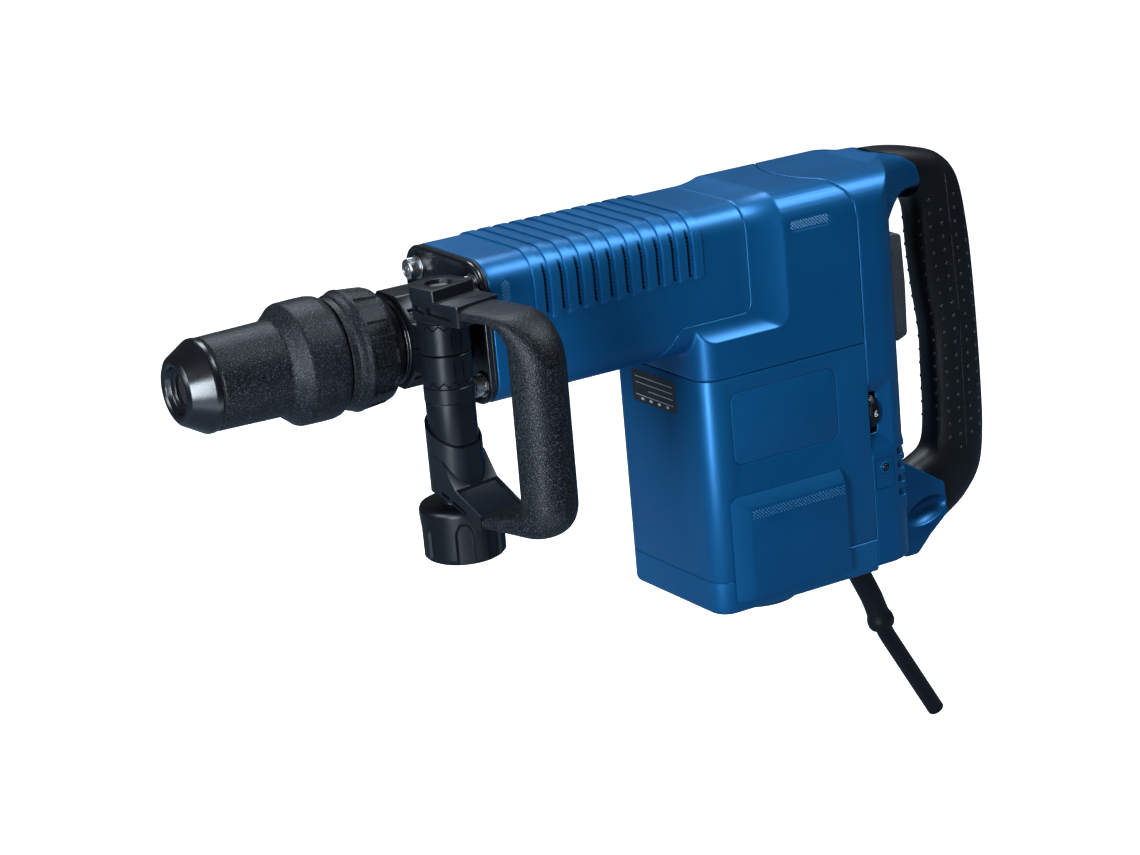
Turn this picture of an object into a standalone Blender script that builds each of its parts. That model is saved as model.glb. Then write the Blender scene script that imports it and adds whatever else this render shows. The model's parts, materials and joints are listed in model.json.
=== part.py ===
"""Electric demolition hammer, each casing, mechanism and handle piece as its own closed solid.

Named lengths are millimetres and become metres when a mesh is made. In the working frame x runs along
the hammer axis with the nose towards -x, y is across, z is up, x = 0 is the front of the tube cover and
z = 0 is the hammer axis. One empty carries the tool, and puts the origin of the part at the middle of
the flat boss under the motor.
"""
import bpy
import bmesh
from math import atan2, cos, pi, radians, sin, tan
from mathutils import Vector

MM = 0.001
GAP = 0.3            # clearance between neighbouring pieces
WALL = 3.0           # casing wall

# Casings
CASE_HALF = 56.0     # half width of gear, motor and rear casings
TUBE_HALF = 48.8     # half width of the hammer tube cover
TUBE_TOP = 47.0
TUBE_BOTTOM = -44.5
TUBE_RADIUS = 19.0
TUBE_END = 188.0     # joint between tube cover and gear housing
CASE_FRONT = 143.6
CASE_REAR = 270.5
CASE_TOP = 52.0
CASE_TOP_RADIUS = 22.0
CASE_CORNER = 13.0
SHOULDER_END = 213.0
SHOULDER_LOW = -36.0
CRADLE_TOP = -23.0
CRADLE_NOSE = 115.0
GEAR_SEAM = -60.7
MOTOR_SEAM = -197.0
CAP_BOTTOM = -220.0
BOSS_BOTTOM = -233.0
BOSS_RADIUS = 30.0
SHELL_BOTTOM = -217.0
SHELL_REAR = 325.0

# Joints between the rear shell and its rubber grip, as (x, z) points
ARM_JOINT = ((318.0, 51.8), (336.0, 46.4), (346.5, 38.0), (352.0, 26.0))
FOOT_JOINT = ((318.0, -163.0), (334.0, -170.0), (356.0, -188.0), (357.0, -192.0))

# Motor and crank drive
MOTOR_X = 207.0
CRANK_X = 176.0
MODULE = 1.0
PINION_TEETH = 12
GEAR_TEETH = 50
CRANK_THROW = 14.0
ROD_LENGTH = 58.0
CRANK_PIN_X = CRANK_X - CRANK_THROW
PISTON_PIN_X = CRANK_PIN_X - ROD_LENGTH

# Side handle
COLUMN_X = -34.3
COLUMN_Y = -47.4
COLUMN_RADIUS = 15.7
HANDLE_TURN = radians(12)
GRIP_HALF = 17.2
GRIP_SKIN = 1.8
GRIP_OUTER_EDGE = ((35, 34.2), (100, 34), (99.5, -106), (38, -104.5))
GRIP_INNER_EDGE = ((35, 25.6), (66, 26), (65, -87), (38, -94.5))
BAND_OUTER = 28.6
BAND_BORE = 25.4
BOLT_BORE = 5.6
CUP_RADIUS = 18.6
SPACER_BORE = 16.2

# Controls
WHEEL_CENTRE = (277.0, -43.5, -110.5)
PADDLE_PIVOT = (326.0, 0.0, -9.0)

FINISHES = {
    "blue_plastic": ((0.02, 0.11, 0.24, 1), 0.38, 0.15),
    "black_plastic": ((0.012, 0.012, 0.013, 1), 0.45, 0.0),
    "black_rubber": ((0.010, 0.010, 0.011, 1), 0.75, 0.0),
    "grey_plastic": ((0.05, 0.055, 0.06, 1), 0.55, 0.0),
    "steel": ((0.55, 0.55, 0.56, 1), 0.3, 1.0),
    "dark_steel": ((0.12, 0.12, 0.13, 1), 0.4, 1.0),
    "aluminium": ((0.62, 0.63, 0.65, 1), 0.42, 1.0),
    "copper": ((0.72, 0.36, 0.2, 1), 0.4, 1.0),
    "bronze": ((0.58, 0.42, 0.2, 1), 0.4, 1.0),
    "carbon": ((0.03, 0.03, 0.03, 1), 0.8, 0.0),
    "lens": ((0.75, 0.1, 0.08, 1), 0.15, 0.0),
}
AXES = {"x": (1, 2, 0), "y": (0, 2, 1), "z": (0, 1, 2)}


def clear_scene():
    for obj in list(bpy.data.objects):
        bpy.data.objects.remove(obj, do_unlink=True)


def finish_material(name):
    found = bpy.data.materials.get(name)
    if found:
        return found
    colour, roughness, metallic = FINISHES[name]
    made = bpy.data.materials.new(name)
    made.use_nodes = True
    shader = made.node_tree.nodes["Principled BSDF"]
    shader.inputs["Base Color"].default_value = colour
    shader.inputs["Roughness"].default_value = roughness
    shader.inputs["Metallic"].default_value = metallic
    made.diffuse_color = colour
    return made


def add_object(name, bm, origin, finish=None):
    """Store a millimetre bmesh as an object whose origin is the given point of the working frame."""
    bmesh.ops.remove_doubles(bm, verts=bm.verts, dist=0.0005)
    bmesh.ops.recalc_face_normals(bm, faces=bm.faces)
    for vert in bm.verts:
        vert.co = (vert.co - Vector(origin)) * MM
    mesh = bpy.data.meshes.new(name)
    bm.to_mesh(mesh)
    bm.free()
    obj = bpy.data.objects.new(name, mesh)
    bpy.context.scene.collection.objects.link(obj)
    obj.parent = bpy.data.objects["tool_frame"]
    obj.location = Vector(origin) * MM
    if finish:
        mesh.materials.append(finish_material(finish))
        mesh.shade_smooth()
        mesh.set_sharp_from_angle(angle=radians(35))
    return obj


def guide(bm):
    """A shape that only cuts or extends another one."""
    obj = add_object("guide", bm, (0, 0, 0))
    obj.hide_render = True
    obj.display_type = "WIRE"
    return obj


def join(obj, other, operation="UNION"):
    """Combine an object with a guide, which may hold cuts of its own."""
    modifier = obj.modifiers.new(operation.lower(), "BOOLEAN")
    modifier.operation = operation
    modifier.object = other


def cut(obj, *shapes):
    for bm in shapes:
        join(obj, guide(bm), "DIFFERENCE")


def extend(obj, *shapes):
    for bm in shapes:
        join(obj, guide(bm))


def keep(obj, *shapes):
    for bm in shapes:
        join(obj, guide(bm), "INTERSECT")


# ---- outlines -------------------------------------------------------------------------------------
def rounded(corners, steps=3):
    """Closed outline through (a, b, radius) corners, each corner turned into an arc."""
    outline = []
    for index, (a, b, radius) in enumerate(corners):
        here = Vector((a, b))
        before = (Vector(corners[index - 1][:2]) - here).normalized()
        after = (Vector(corners[(index + 1) % len(corners)][:2]) - here).normalized()
        if radius <= 0:
            outline.append((a, b))
            continue
        half = before.angle(after) / 2
        centre = here + (before + after).normalized() * (radius / sin(half))
        start = here + before * (radius / tan(half)) - centre
        end = here + after * (radius / tan(half)) - centre
        first = atan2(start.y, start.x)
        sweep = (atan2(end.y, end.x) - first + pi) % (2 * pi) - pi
        for step in range(steps + 1):
            angle = first + sweep * step / steps
            outline.append((centre.x + radius * cos(angle), centre.y + radius * sin(angle)))
    return outline


def box_outline(low_a, high_a, low_b, high_b, radius=0.0, steps=3):
    corners = ((low_a, low_b), (high_a, low_b), (high_a, high_b), (low_a, high_b))
    return rounded([(a, b, radius) for a, b in corners], steps)


def circle(radius, a=0.0, b=0.0, steps=24):
    return [(a + radius * cos(2 * pi * n / steps), b + radius * sin(2 * pi * n / steps)) for n in range(steps)]


def gear_outline(teeth, centre, phase):
    """Straight flanked teeth with backlash; a tooth stands at the phase angle."""
    pitch = MODULE * teeth / 2
    outline = []
    for tooth in range(teeth):
        middle = phase + 2 * pi * tooth / teeth
        for radius, half in ((pitch - 1.2, 1.05), (pitch + 0.8, 0.36)):
            outline.append((radius, middle - half / radius))
        for radius, half in ((pitch + 0.8, 0.36), (pitch - 1.2, 1.05)):
            outline.append((radius, middle + half / radius))
    return [(centre + radius * cos(angle), radius * sin(angle)) for radius, angle in outline]


# ---- solids ---------------------------------------------------------------------------------------
def loft(loops, closed=False):
    """Skin equal loops of points, capping the ends unless the loops close on themselves."""
    bm = bmesh.new()
    rings = [[bm.verts.new(point) for point in loop] for loop in loops]
    pairs = list(zip(rings, rings[1:]))
    if closed:
        pairs.append((rings[-1], rings[0]))
    for low, high in pairs:
        for index in range(len(low)):
            after = (index + 1) % len(low)
            bm.faces.new((low[index], low[after], high[after], high[index]))
    if not closed:
        bm.faces.new(rings[0])
        bm.faces.new(rings[-1])
    bmesh.ops.recalc_face_normals(bm, faces=bm.faces)
    return bm


def prism(axis, outline, low, high):
    first, second, along = AXES[axis]
    loops = []
    for place in (low, high):
        loop = []
        for a, b in outline:
            point = [0.0, 0.0, 0.0]
            point[first] = a
            point[second] = b
            point[along] = place
            loop.append(point)
        loops.append(loop)
    return loft(loops)


def block(low, high, radius=0.0, axis="z"):
    first, second, along = AXES[axis]
    outline = box_outline(low[first], high[first], low[second], high[second], radius)
    return prism(axis, outline, low[along], high[along])


def turned(axis, profile, centre=(0.0, 0.0), steps=24):
    """Turn (along, radius) points about an axis; points on the axis close the solid."""
    first, second, along = AXES[axis]
    bm = bmesh.new()
    rings = []
    for place, radius in profile:
        ring = []
        for step in range(steps if radius > 0 else 1):
            angle = 2 * pi * step / steps
            point = [0.0, 0.0, 0.0]
            point[first] = centre[0] + radius * cos(angle)
            point[second] = centre[1] + radius * sin(angle)
            point[along] = place
            ring.append(bm.verts.new(point))
        rings.append(ring)
    solid = len(rings[0]) == 1
    for index, low in enumerate(rings):
        if solid and index == len(rings) - 1:
            break
        high = rings[(index + 1) % len(rings)]
        for step in range(steps):
            after = (step + 1) % steps
            corners = [low[step % len(low)], low[after % len(low)], high[after % len(high)], high[step % len(high)]]
            bm.faces.new(list(dict.fromkeys(corners)))
    bmesh.ops.recalc_face_normals(bm, faces=bm.faces)
    return bm


def rod(axis, low, high, radius, centre=(0.0, 0.0), steps=16):
    return turned(axis, ((low, 0), (low, radius), (high, radius), (high, 0)), centre, steps)


def ring(axis, low, high, inner, outer, centre=(0.0, 0.0), steps=24):
    return turned(axis, ((low, inner), (low, outer), (high, outer), (high, inner)), centre, steps)


def swept(path, section, side=Vector((0, 1, 0))):
    """Carry a flat (across, up) section along a path, with 'across' staying near the side vector."""
    loops = []
    for index, point in enumerate(path):
        before = path[max(index - 1, 0)]
        after = path[min(index + 1, len(path) - 1)]
        ahead = (Vector(after) - Vector(before)).normalized()
        across = (side - ahead * side.dot(ahead)).normalized()
        up = ahead.cross(across)
        loops.append([Vector(point) + across * a + up * b for a, b in section])
    return loops


def curve_path(points, radii, steps=5):
    """Planar path of points whose inner corners are arcs."""
    path = [points[0]]
    for index in range(1, len(points) - 1):
        corners = [(*points[index - 1], 0), (*points[index], radii[index - 1]), (*points[index + 1], 0)]
        path += rounded(corners, steps)[1:-1]
    return path + [points[-1]]


# ---- tool holder ----------------------------------------------------------------------------------
def dust_cap():
    profile = ((-193.3, 15.0), (-193.3, 19.2), (-192.2, 20.6), (-177.9, 29.2), (-174.0, 29.4),
               (-174.0, 17.3), (-186.3, 17.3), (-186.3, 9.7), (-189.0, 9.7))
    add_object("dust_cap", turned("x", profile), (-174, 0, 0), "black_rubber")


def tool_spindle():
    profile = ((-186.0, 9.6), (-186.0, 17.0), (-104.0, 17.0), (-104.0, 22.5), (-100.0, 22.5),
               (-100.0, 20.0), (-12.0, 20.0), (-12.0, 14.6), (-90.0, 14.6), (-90.0, 9.6))
    spindle = add_object("tool_spindle", turned("x", profile), (-100, 0, 0), "steel")
    for side in (-1, 1):
        low, high = sorted((side * 8.0, side * 20.0))
        cut(spindle, block((-152, low, -3.7), (-134, high, 3.7)))


def locking_rollers():
    for name, side in (("locking_roller_left", -1), ("locking_roller_right", 1)):
        roller = turned("x", ((-151, 0), (-151, 2.2), (-150, 3.2), (-140, 3.2), (-139, 2.2), (-139, 0)),
                        (side * 12.8, 0), 12)
        add_object(name, roller, (-145, side * 12.8, 0), "steel")


def sleeve_spring():
    turns, per_turn = 4, 10
    path = []
    for step in range(turns * per_turn + 1):
        angle = 2 * pi * step / per_turn
        place = -140.0 + 34.0 * step / (turns * per_turn)
        path.append((place, 20.6 * cos(angle), 20.6 * sin(angle)))
    loops = swept(path, circle(1.2, steps=5), Vector((1, 0, 0)))
    add_object("sleeve_spring", loft(loops), (-105, 0, 0), "steel")


def locking_sleeve():
    profile = ((-173.2, 26.0), (-173.2, 28.8), (-172.4, 29.6), (-127.7, 29.9), (-118.1, 38.0), (-116.5, 38.4),
               (-97.2, 38.5), (-92.0, 36.9), (-92.0, 35.3), (-98.0, 35.3), (-98.0, 32.5), (-115.0, 32.5),
               (-124.0, 25.5), (-141.7, 25.5), (-141.7, 17.4), (-150.0, 17.4), (-150.0, 25.5))
    add_object("locking_sleeve", turned("x", profile, steps=24), (-130, 0, 0), "black_plastic")


def setting_ring():
    profile = ((-90.0, 31.0), (-90.0, 34.8), (-84.0, 34.8), (-82.4, 37.4), (-76.0, 37.9), (-59.9, 35.8),
               (-50.5, 27.0), (-50.5, 20.4), (-59.0, 20.4), (-59.0, 24.0), (-64.0, 31.0))
    add_object("setting_ring", turned("x", profile, steps=24), (-70, 0, 0), "black_plastic")


# ---- neck and hammer mechanism --------------------------------------------------------------------
def screw_places():
    for low_high, z in (("bottom", -31.5), ("top", 32.0)):
        for side, y in (("left", -35.0), ("right", 35.0)):
            yield low_high + "_" + side, y, z


def front_flange():
    neck = ((-46.0, 22.0), (-46.0, 25.0), (-8.0, 25.0), (-3.0, 28.0), (-2.5, 28.0), (-2.5, 22.0))
    flange = add_object("front_flange", turned("x", neck), (-2.5, 0, 0), "black_plastic")
    rim = guide(block((-6.0, -48.8, -44.5), (-2.5, 48.8, 45.6), 13, "x"))
    cut(rim, block((-8.0, -45.8, -41.5), (-3.4, 45.8, 42.6), 10, "x"), rod("x", -9, 0, 22.0, steps=24))
    join(flange, rim)
    for _, y, z in screw_places():
        extend(flange, rod("x", -4.6, -2.8, 8.2, (y, z), 14))
        cut(flange, rod("x", -9.0, 1.0, 4.3, (y, z), 10))


def flange_gasket():
    gasket = add_object("flange_gasket", block((-2.2, -48.8, -44.5), (-0.3, 48.8, 45.6), 13, "x"), (0, 0, 0),
                        "black_rubber")
    cut(gasket, rod("x", -5, 5, 28.0, steps=24))
    for _, y, z in screw_places():
        cut(gasket, rod("x", -9.0, 1.0, 4.3, (y, z), 10))


def flange_screws():
    for name, y, z in screw_places():
        profile = ((-12.4, 0), (-12.4, 6.0), (-11.8, 6.5), (-4.9, 6.5), (-4.9, 3.9), (16.0, 3.9), (16.0, 0))
        screw = add_object("flange_screw_" + name, turned("x", profile, (y, z), 14), (-4.9, y, z), "steel")
        cut(screw, prism("x", circle(3.6, y, z, 6), -15.0, -8.0))


def neck_bellows():
    profile = [(-50.2, 25.3)]
    for fold in range(2):
        place = -50.2 + 1.9 * fold
        profile += [(place, 26.6), (place + 0.9, 26.6), (place + 1.3, 25.9)]
    profile += [(-46.4, 26.6), (-46.4, 25.3)]
    add_object("neck_bellows", turned("x", profile), (-48, 0, 0), "black_rubber")


def spindle_bush():
    add_object("spindle_bush", ring("x", -44, -20, 20.35, 21.7), (-32, 0, 0), "bronze")


def cylinder_housing():
    flange = block((0.3, -44.5, -40.5), (8.0, 44.5, 42.0), 14, "x")
    housing = add_object("cylinder_housing", flange, (0.3, 0, 0), "aluminium")
    extend(housing, rod("x", 4.0, 140.0, 26.0, steps=24))
    cut(housing, rod("x", -5.0, 145.0, 20.7, steps=24))
    for _, y, z in screw_places():
        extend(housing, rod("x", 5.0, 20.0, 6.5, (y, z), 12))
        cut(housing, rod("x", -2.0, 24.0, 4.3, (y, z), 10))


def beat_piece():
    profile = ((-84, 0), (-84, 9.0), (-83, 10.0), (-62, 10), (-58, 14.2), (-34, 14.2), (-30, 10), (-14, 10), (-14, 0))
    add_object("beat_piece", turned("x", profile, steps=24), (-50, 0, 0), "steel")


def hammer_parts():
    add_object("hammer_cylinder", ring("x", 10, 139, 17.4, 20.4), (10, 0, 0), "steel")
    striker = ((-5, 0), (-5, 8.5), (36, 8.5), (38, 16.6), (39, 17.0), (71, 17.0), (72, 16.4), (72, 0))
    add_object("striker", turned("x", striker, steps=24), (38, 0, 0), "steel")
    piston = ((84, 0), (84, 16.4), (85, 17.0), (126, 17.0), (126, 13.5), (94, 13.5), (92, 12.0), (92, 0))
    body = add_object("piston", turned("x", piston, steps=24), (PISTON_PIN_X, 0, 0), "aluminium")
    cut(body, rod("z", -25, 25, 4.8, (PISTON_PIN_X, 0), 16))
    add_object("piston_pin", rod("z", -16.0, 16.0, 4.4, (PISTON_PIN_X, 0), 16), (PISTON_PIN_X, 0, 0), "steel")


def connecting_rod():
    bar = block((PISTON_PIN_X + 4, -4.2, -3.6), (CRANK_PIN_X - 4, 4.2, 3.6))
    link = add_object("connecting_rod", bar, (PISTON_PIN_X, 0, 0), "steel")
    extend(link, rod("z", -5, 5, 8.0, (PISTON_PIN_X, 0), 20), rod("z", -5, 5, 10.5, (CRANK_PIN_X, 0), 20))
    cut(link, rod("z", -9, 9, 4.8, (PISTON_PIN_X, 0), 16), rod("z", -9, 9, 6.3, (CRANK_PIN_X, 0), 16))
    pin = ((-7.7, 0), (-7.7, 5.9), (6.5, 5.9), (6.5, 0))
    add_object("crank_pin", turned("z", pin, (CRANK_PIN_X, 0), 16), (CRANK_PIN_X, 0, 0), "steel")


def crank_gear():
    teeth = prism("z", gear_outline(GEAR_TEETH, CRANK_X, pi / GEAR_TEETH), -42, -32)
    gear = add_object("crank_gear", teeth, (CRANK_X, 0, 0), "dark_steel")
    extend(gear, rod("z", -34, -12, 9.0, (CRANK_X, 0), 20), rod("z", -16, -8, 22.0, (CRANK_X, 0), 28))
    extend(gear, rod("z", -59, -40, 6.0, (CRANK_X, 0), 20))
    add_object("crank_bearing", ring("z", -60, -50, 6.35, 12.0, (CRANK_X, 0), 24), (CRANK_X, 0, -55), "steel")


# ---- motor ----------------------------------------------------------------------------------------
def motor_turned(name, profile, finish, steps=20):
    place = (MOTOR_X, 0, profile[0][0])
    return add_object(name, turned("z", profile, (MOTOR_X, 0), steps), place, finish)


def armature():
    shaft = ((-227, 0), (-227, 5.0), (-190, 5.0), (-190, 6.0), (-62, 6.0), (-62, 4.6), (-44, 4.6), (-44, 0))
    pinion = prism("z", gear_outline(PINION_TEETH, MOTOR_X, 0), -46, -30)
    extend(motor_turned("armature_shaft", shaft, "steel", 20), pinion)
    core = ((-160, 6.4), (-160, 16), (-154, 21), (-146, 21), (-146, 24.5), (-98, 24.5), (-98, 21), (-92, 20),
            (-88, 14), (-88, 6.4))
    motor_turned("armature_core", core, "copper")
    motor_turned("commutator", ((-188, 6.4), (-188, 14), (-166, 14), (-166, 6.4)), "copper")


def cooling_fan():
    fan = motor_turned("cooling_fan", ((-80, 6.4), (-80, 42), (-77, 42), (-77, 12), (-68, 12), (-68, 6.4)),
                       "grey_plastic")
    blades = 10
    for blade in range(blades):
        angle = 2 * pi * blade / blades
        across = Vector((-sin(angle), cos(angle)))
        out = Vector((cos(angle), sin(angle)))
        middle = Vector((MOTOR_X, 0))
        corners = [middle + out * r + across * w for r, w in ((11, -0.9), (40, 2.1), (40, 3.9), (11, 0.9))]
        extend(fan, prism("z", [tuple(corner) for corner in corners], -78.5, -68))


def bearings():
    motor_turned("upper_bearing", ((-60, 6.35), (-60, 14.0), (-52, 14.0), (-52, 6.35)), "steel", 24)
    motor_turned("lower_bearing", ((-228, 5.35), (-228, 11.0), (-220, 11.0), (-220, 5.35)), "steel", 24)


def stator():
    core = block((MOTOR_X - 44, -44, -148), (MOTOR_X + 44, 44, -96), 22)
    field = add_object("stator", core, (MOTOR_X, 0, -122), "dark_steel")
    extend(field, ring("z", -156, -88, 27, 36, (MOTOR_X, 0), 20))
    cut(field, rod("z", -170, -80, 25.6, (MOTOR_X, 0), 20))


def brushes():
    for side, name in ((-1, "left"), (1, "right")):
        near, far = sorted((side * 17.0, side * 40.0))
        holder = add_object("brush_holder_" + name, block((MOTOR_X - 7, near, -185), (MOTOR_X + 7, far, -169)),
                            (MOTOR_X, side * 28, -177), "bronze")
        cut(holder, block((MOTOR_X - 4.4, min(near, far) - 9, -182.4), (MOTOR_X + 4.4, far + 9, -171.6)))
        near, far = sorted((side * 14.4, side * 32.0))
        add_object("brush_" + name, block((MOTOR_X - 4, near, -182), (MOTOR_X + 4, far, -172)),
                   (MOTOR_X, side * 20, -177), "carbon")


def air_guide():
    plate = add_object("air_guide", block((150, -50, -86), (264, 50, -83.5), 8), (MOTOR_X, 0, -85), "grey_plastic")
    cut(plate, rod("z", -90, -80, 37, (MOTOR_X, 0), 20))


# ---- casings --------------------------------------------------------------------------------------
def tube_section(half, low, high, radius, steps=3):
    return box_outline(-half, half, low, high, radius, steps)


def seam_front(offset):
    """Side outline of everything ahead of the joint between tube cover and gear housing."""
    return rounded(((-20, -70, 0), (CRADLE_NOSE - offset, -70, 0), (CRADLE_NOSE - offset, -44, 6),
                    (124 - offset, -36, 8), (134 - offset, CRADLE_TOP + offset, 6),
                    (TUBE_END - offset, CRADLE_TOP + offset, 6), (TUBE_END - offset, 80, 0), (-20, 80, 0)))


def hammer_tube_cover():
    outer = prism("x", tube_section(TUBE_HALF, TUBE_BOTTOM, TUBE_TOP, TUBE_RADIUS, 4), 0, 196)
    cover = add_object("hammer_tube_cover", outer, (0, 0, 0), "blue_plastic")
    inner = tube_section(TUBE_HALF - WALL, TUBE_BOTTOM + WALL, TUBE_TOP - WALL, TUBE_RADIUS - WALL, 4)
    cut(cover, prism("x", inner, -10, 200))
    keep(cover, prism("y", seam_front(GAP / 2), -80, 80))


def case_loop(x, half, low, high, radius, steps=4):
    outline = rounded(((-half, low, 0), (half, low, 0), (half, high, radius), (-half, high, radius)), steps)
    return [(x, y, z) for y, z in outline]


def gear_case_outer():
    """Upper casing: tube width at the joint, full width behind the shoulders."""
    loops = []
    for step in range(6):
        share = step / 5
        swell = share * share * (3 - 2 * share)
        x = TUBE_END - 2 + (SHOULDER_END - TUBE_END + 2) * share
        half = TUBE_HALF + (CASE_HALF - TUBE_HALF) * swell
        high = TUBE_TOP + (CASE_TOP - TUBE_TOP) * swell
        loops.append(case_loop(x, half, GEAR_SEAM, high, TUBE_RADIUS + 3 * share))
    loops.append(case_loop(CASE_REAR + 30, CASE_HALF, GEAR_SEAM, CASE_TOP, CASE_TOP_RADIUS))
    return loft(loops)


def lower_case_outer(low, high):
    corners = ((CASE_FRONT, -CASE_HALF, CASE_CORNER), (CASE_REAR + 9, -CASE_HALF, 0),
               (CASE_REAR + 9, CASE_HALF, 0), (CASE_FRONT, CASE_HALF, CASE_CORNER))
    return prism("z", rounded(corners), low, high)


def rear_seam(offset, forward):
    """Plan outline ahead of (or behind) the curved joint over the top of the rear shell."""
    edge = []
    for step in range(-6, 7):
        y = 60.0 * step / 6
        edge.append((246.0 + 24.5 * min(1, (y / CASE_HALF) ** 2) + offset, y))
    end = 100.0 if forward else 420.0
    return [(end, -60)] + edge + [(end, 60)]


def gear_housing():
    housing = add_object("gear_housing", gear_case_outer(), (CASE_REAR, 0, 0), "blue_plastic")
    skirt = rounded(((-CASE_HALF, GEAR_SEAM, 0), (CASE_HALF, GEAR_SEAM, 0), (CASE_HALF, SHOULDER_LOW - 4, 8),
                     (TUBE_HALF, CRADLE_TOP, 0), (-TUBE_HALF, CRADLE_TOP, 0), (-CASE_HALF, SHOULDER_LOW - 4, 8)))
    front = guide(lower_case_outer(GEAR_SEAM, 0))
    keep(front, prism("x", skirt, 100, 300))
    join(housing, front)
    cradle = tube_section(TUBE_HALF, TUBE_BOTTOM, TUBE_TOP, TUBE_RADIUS, 4)
    extend(housing, prism("x", cradle, CRADLE_NOSE, 192))
    cut(housing, prism("y", seam_front(-GAP / 2), -80, 80))
    inner = tube_section(TUBE_HALF - WALL, TUBE_BOTTOM + WALL, TUBE_TOP - WALL, TUBE_RADIUS - WALL, 4)
    cut(housing, prism("x", inner, 100, 215))
    hollow = rounded(((CASE_FRONT + WALL, -CASE_HALF + WALL, 10), (290, -CASE_HALF + WALL, 0),
                      (290, CASE_HALF - WALL, 0), (CASE_FRONT + WALL, CASE_HALF - WALL, 10)))
    cut(housing, prism("z", hollow, GEAR_SEAM + 8.5, CRADLE_TOP - 14))
    roof = rounded(((-CASE_HALF + WALL, -55, 0), (CASE_HALF - WALL, -55, 0),
                    (CASE_HALF - WALL, CASE_TOP - WALL, 19), (-CASE_HALF + WALL, CASE_TOP - WALL, 19)))
    cut(housing, prism("x", roof, SHOULDER_END - 6, 320))
    cut(housing, prism("z", rear_seam(-GAP / 2, False), 25, 90))
    cut(housing, block((CASE_REAR - GAP / 2, -90, -90), (350, 90, 25.5)))
    cut(housing, rod("z", -70, -40, 14.3, (MOTOR_X, 0), 24), rod("z", -70, -40, 12.3, (CRANK_X, 0), 24))


def motor_housing():
    low, high = MOTOR_SEAM + GAP, GEAR_SEAM - GAP
    shell = add_object("motor_housing", lower_case_outer(low, high), (MOTOR_X, 0, low), "blue_plastic")
    hollow = rounded(((CASE_FRONT + WALL, -CASE_HALF + WALL, 10), (290, -CASE_HALF + WALL, 0),
                      (290, CASE_HALF - WALL, 0), (CASE_FRONT + WALL, CASE_HALF - WALL, 10)))
    cut(shell, prism("z", hollow, low - 9, high + 9))
    cut(shell, block((CASE_REAR - GAP / 2, -90, low - 9), (350, 90, high + 9)))


def motor_end_cap():
    cap = add_object("motor_end_cap", lower_case_outer(CAP_BOTTOM, MOTOR_SEAM), (MOTOR_X, 0, BOSS_BOTTOM),
                     "blue_plastic")
    cut(cap, block((CASE_REAR - GAP / 2, -90, -250), (350, 90, -190)))
    hollow = rounded(((CASE_FRONT + WALL, -CASE_HALF + WALL, 10), (290, -CASE_HALF + WALL, 0),
                      (290, CASE_HALF - WALL, 0), (CASE_FRONT + WALL, CASE_HALF - WALL, 10)))
    cut(cap, prism("z", hollow, CAP_BOTTOM + WALL, -190))
    boss = ((BOSS_BOTTOM, 0), (BOSS_BOTTOM, BOSS_RADIUS - 2), (BOSS_BOTTOM + 2, BOSS_RADIUS),
            (CAP_BOTTOM + 1, BOSS_RADIUS + 1), (CAP_BOTTOM + 1, 0))
    extend(cap, turned("z", boss, (MOTOR_X, 0), 24))
    cut(cap, rod("z", BOSS_BOTTOM + 4.5, -210, 11.3, (MOTOR_X, 0), 24))


def side_pads():
    for name, side in (("side_pad_left", -1), ("side_pad_right", 1)):
        outline = rounded(((156, -212, 3), (245, -212, 3), (245, -141, 3), (156, -141, 6)), 2)
        face = rounded(((168.5, -211, 3), (244.5, -211, 3), (244.5, -148, 3), (168.5, -148, 4)), 2)
        base = side * (CASE_HALF + GAP)
        loops = [[(x, base, z) for x, z in outline], [(x, side * 61.3, z) for x, z in face]]
        add_object(name, loft(loops), (206, base, -180), "blue_plastic")


def rear_plan(inset):
    half = CASE_HALF - inset
    rear = SHELL_REAR - inset
    corners = ((CASE_REAR - 20, -half, 0), (rear - 22, -half, 20), (rear, -half + 38, 24), (rear, half - 38, 24),
               (rear - 22, half, 20), (CASE_REAR - 20, half, 0))
    return rounded(corners, 4)


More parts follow.
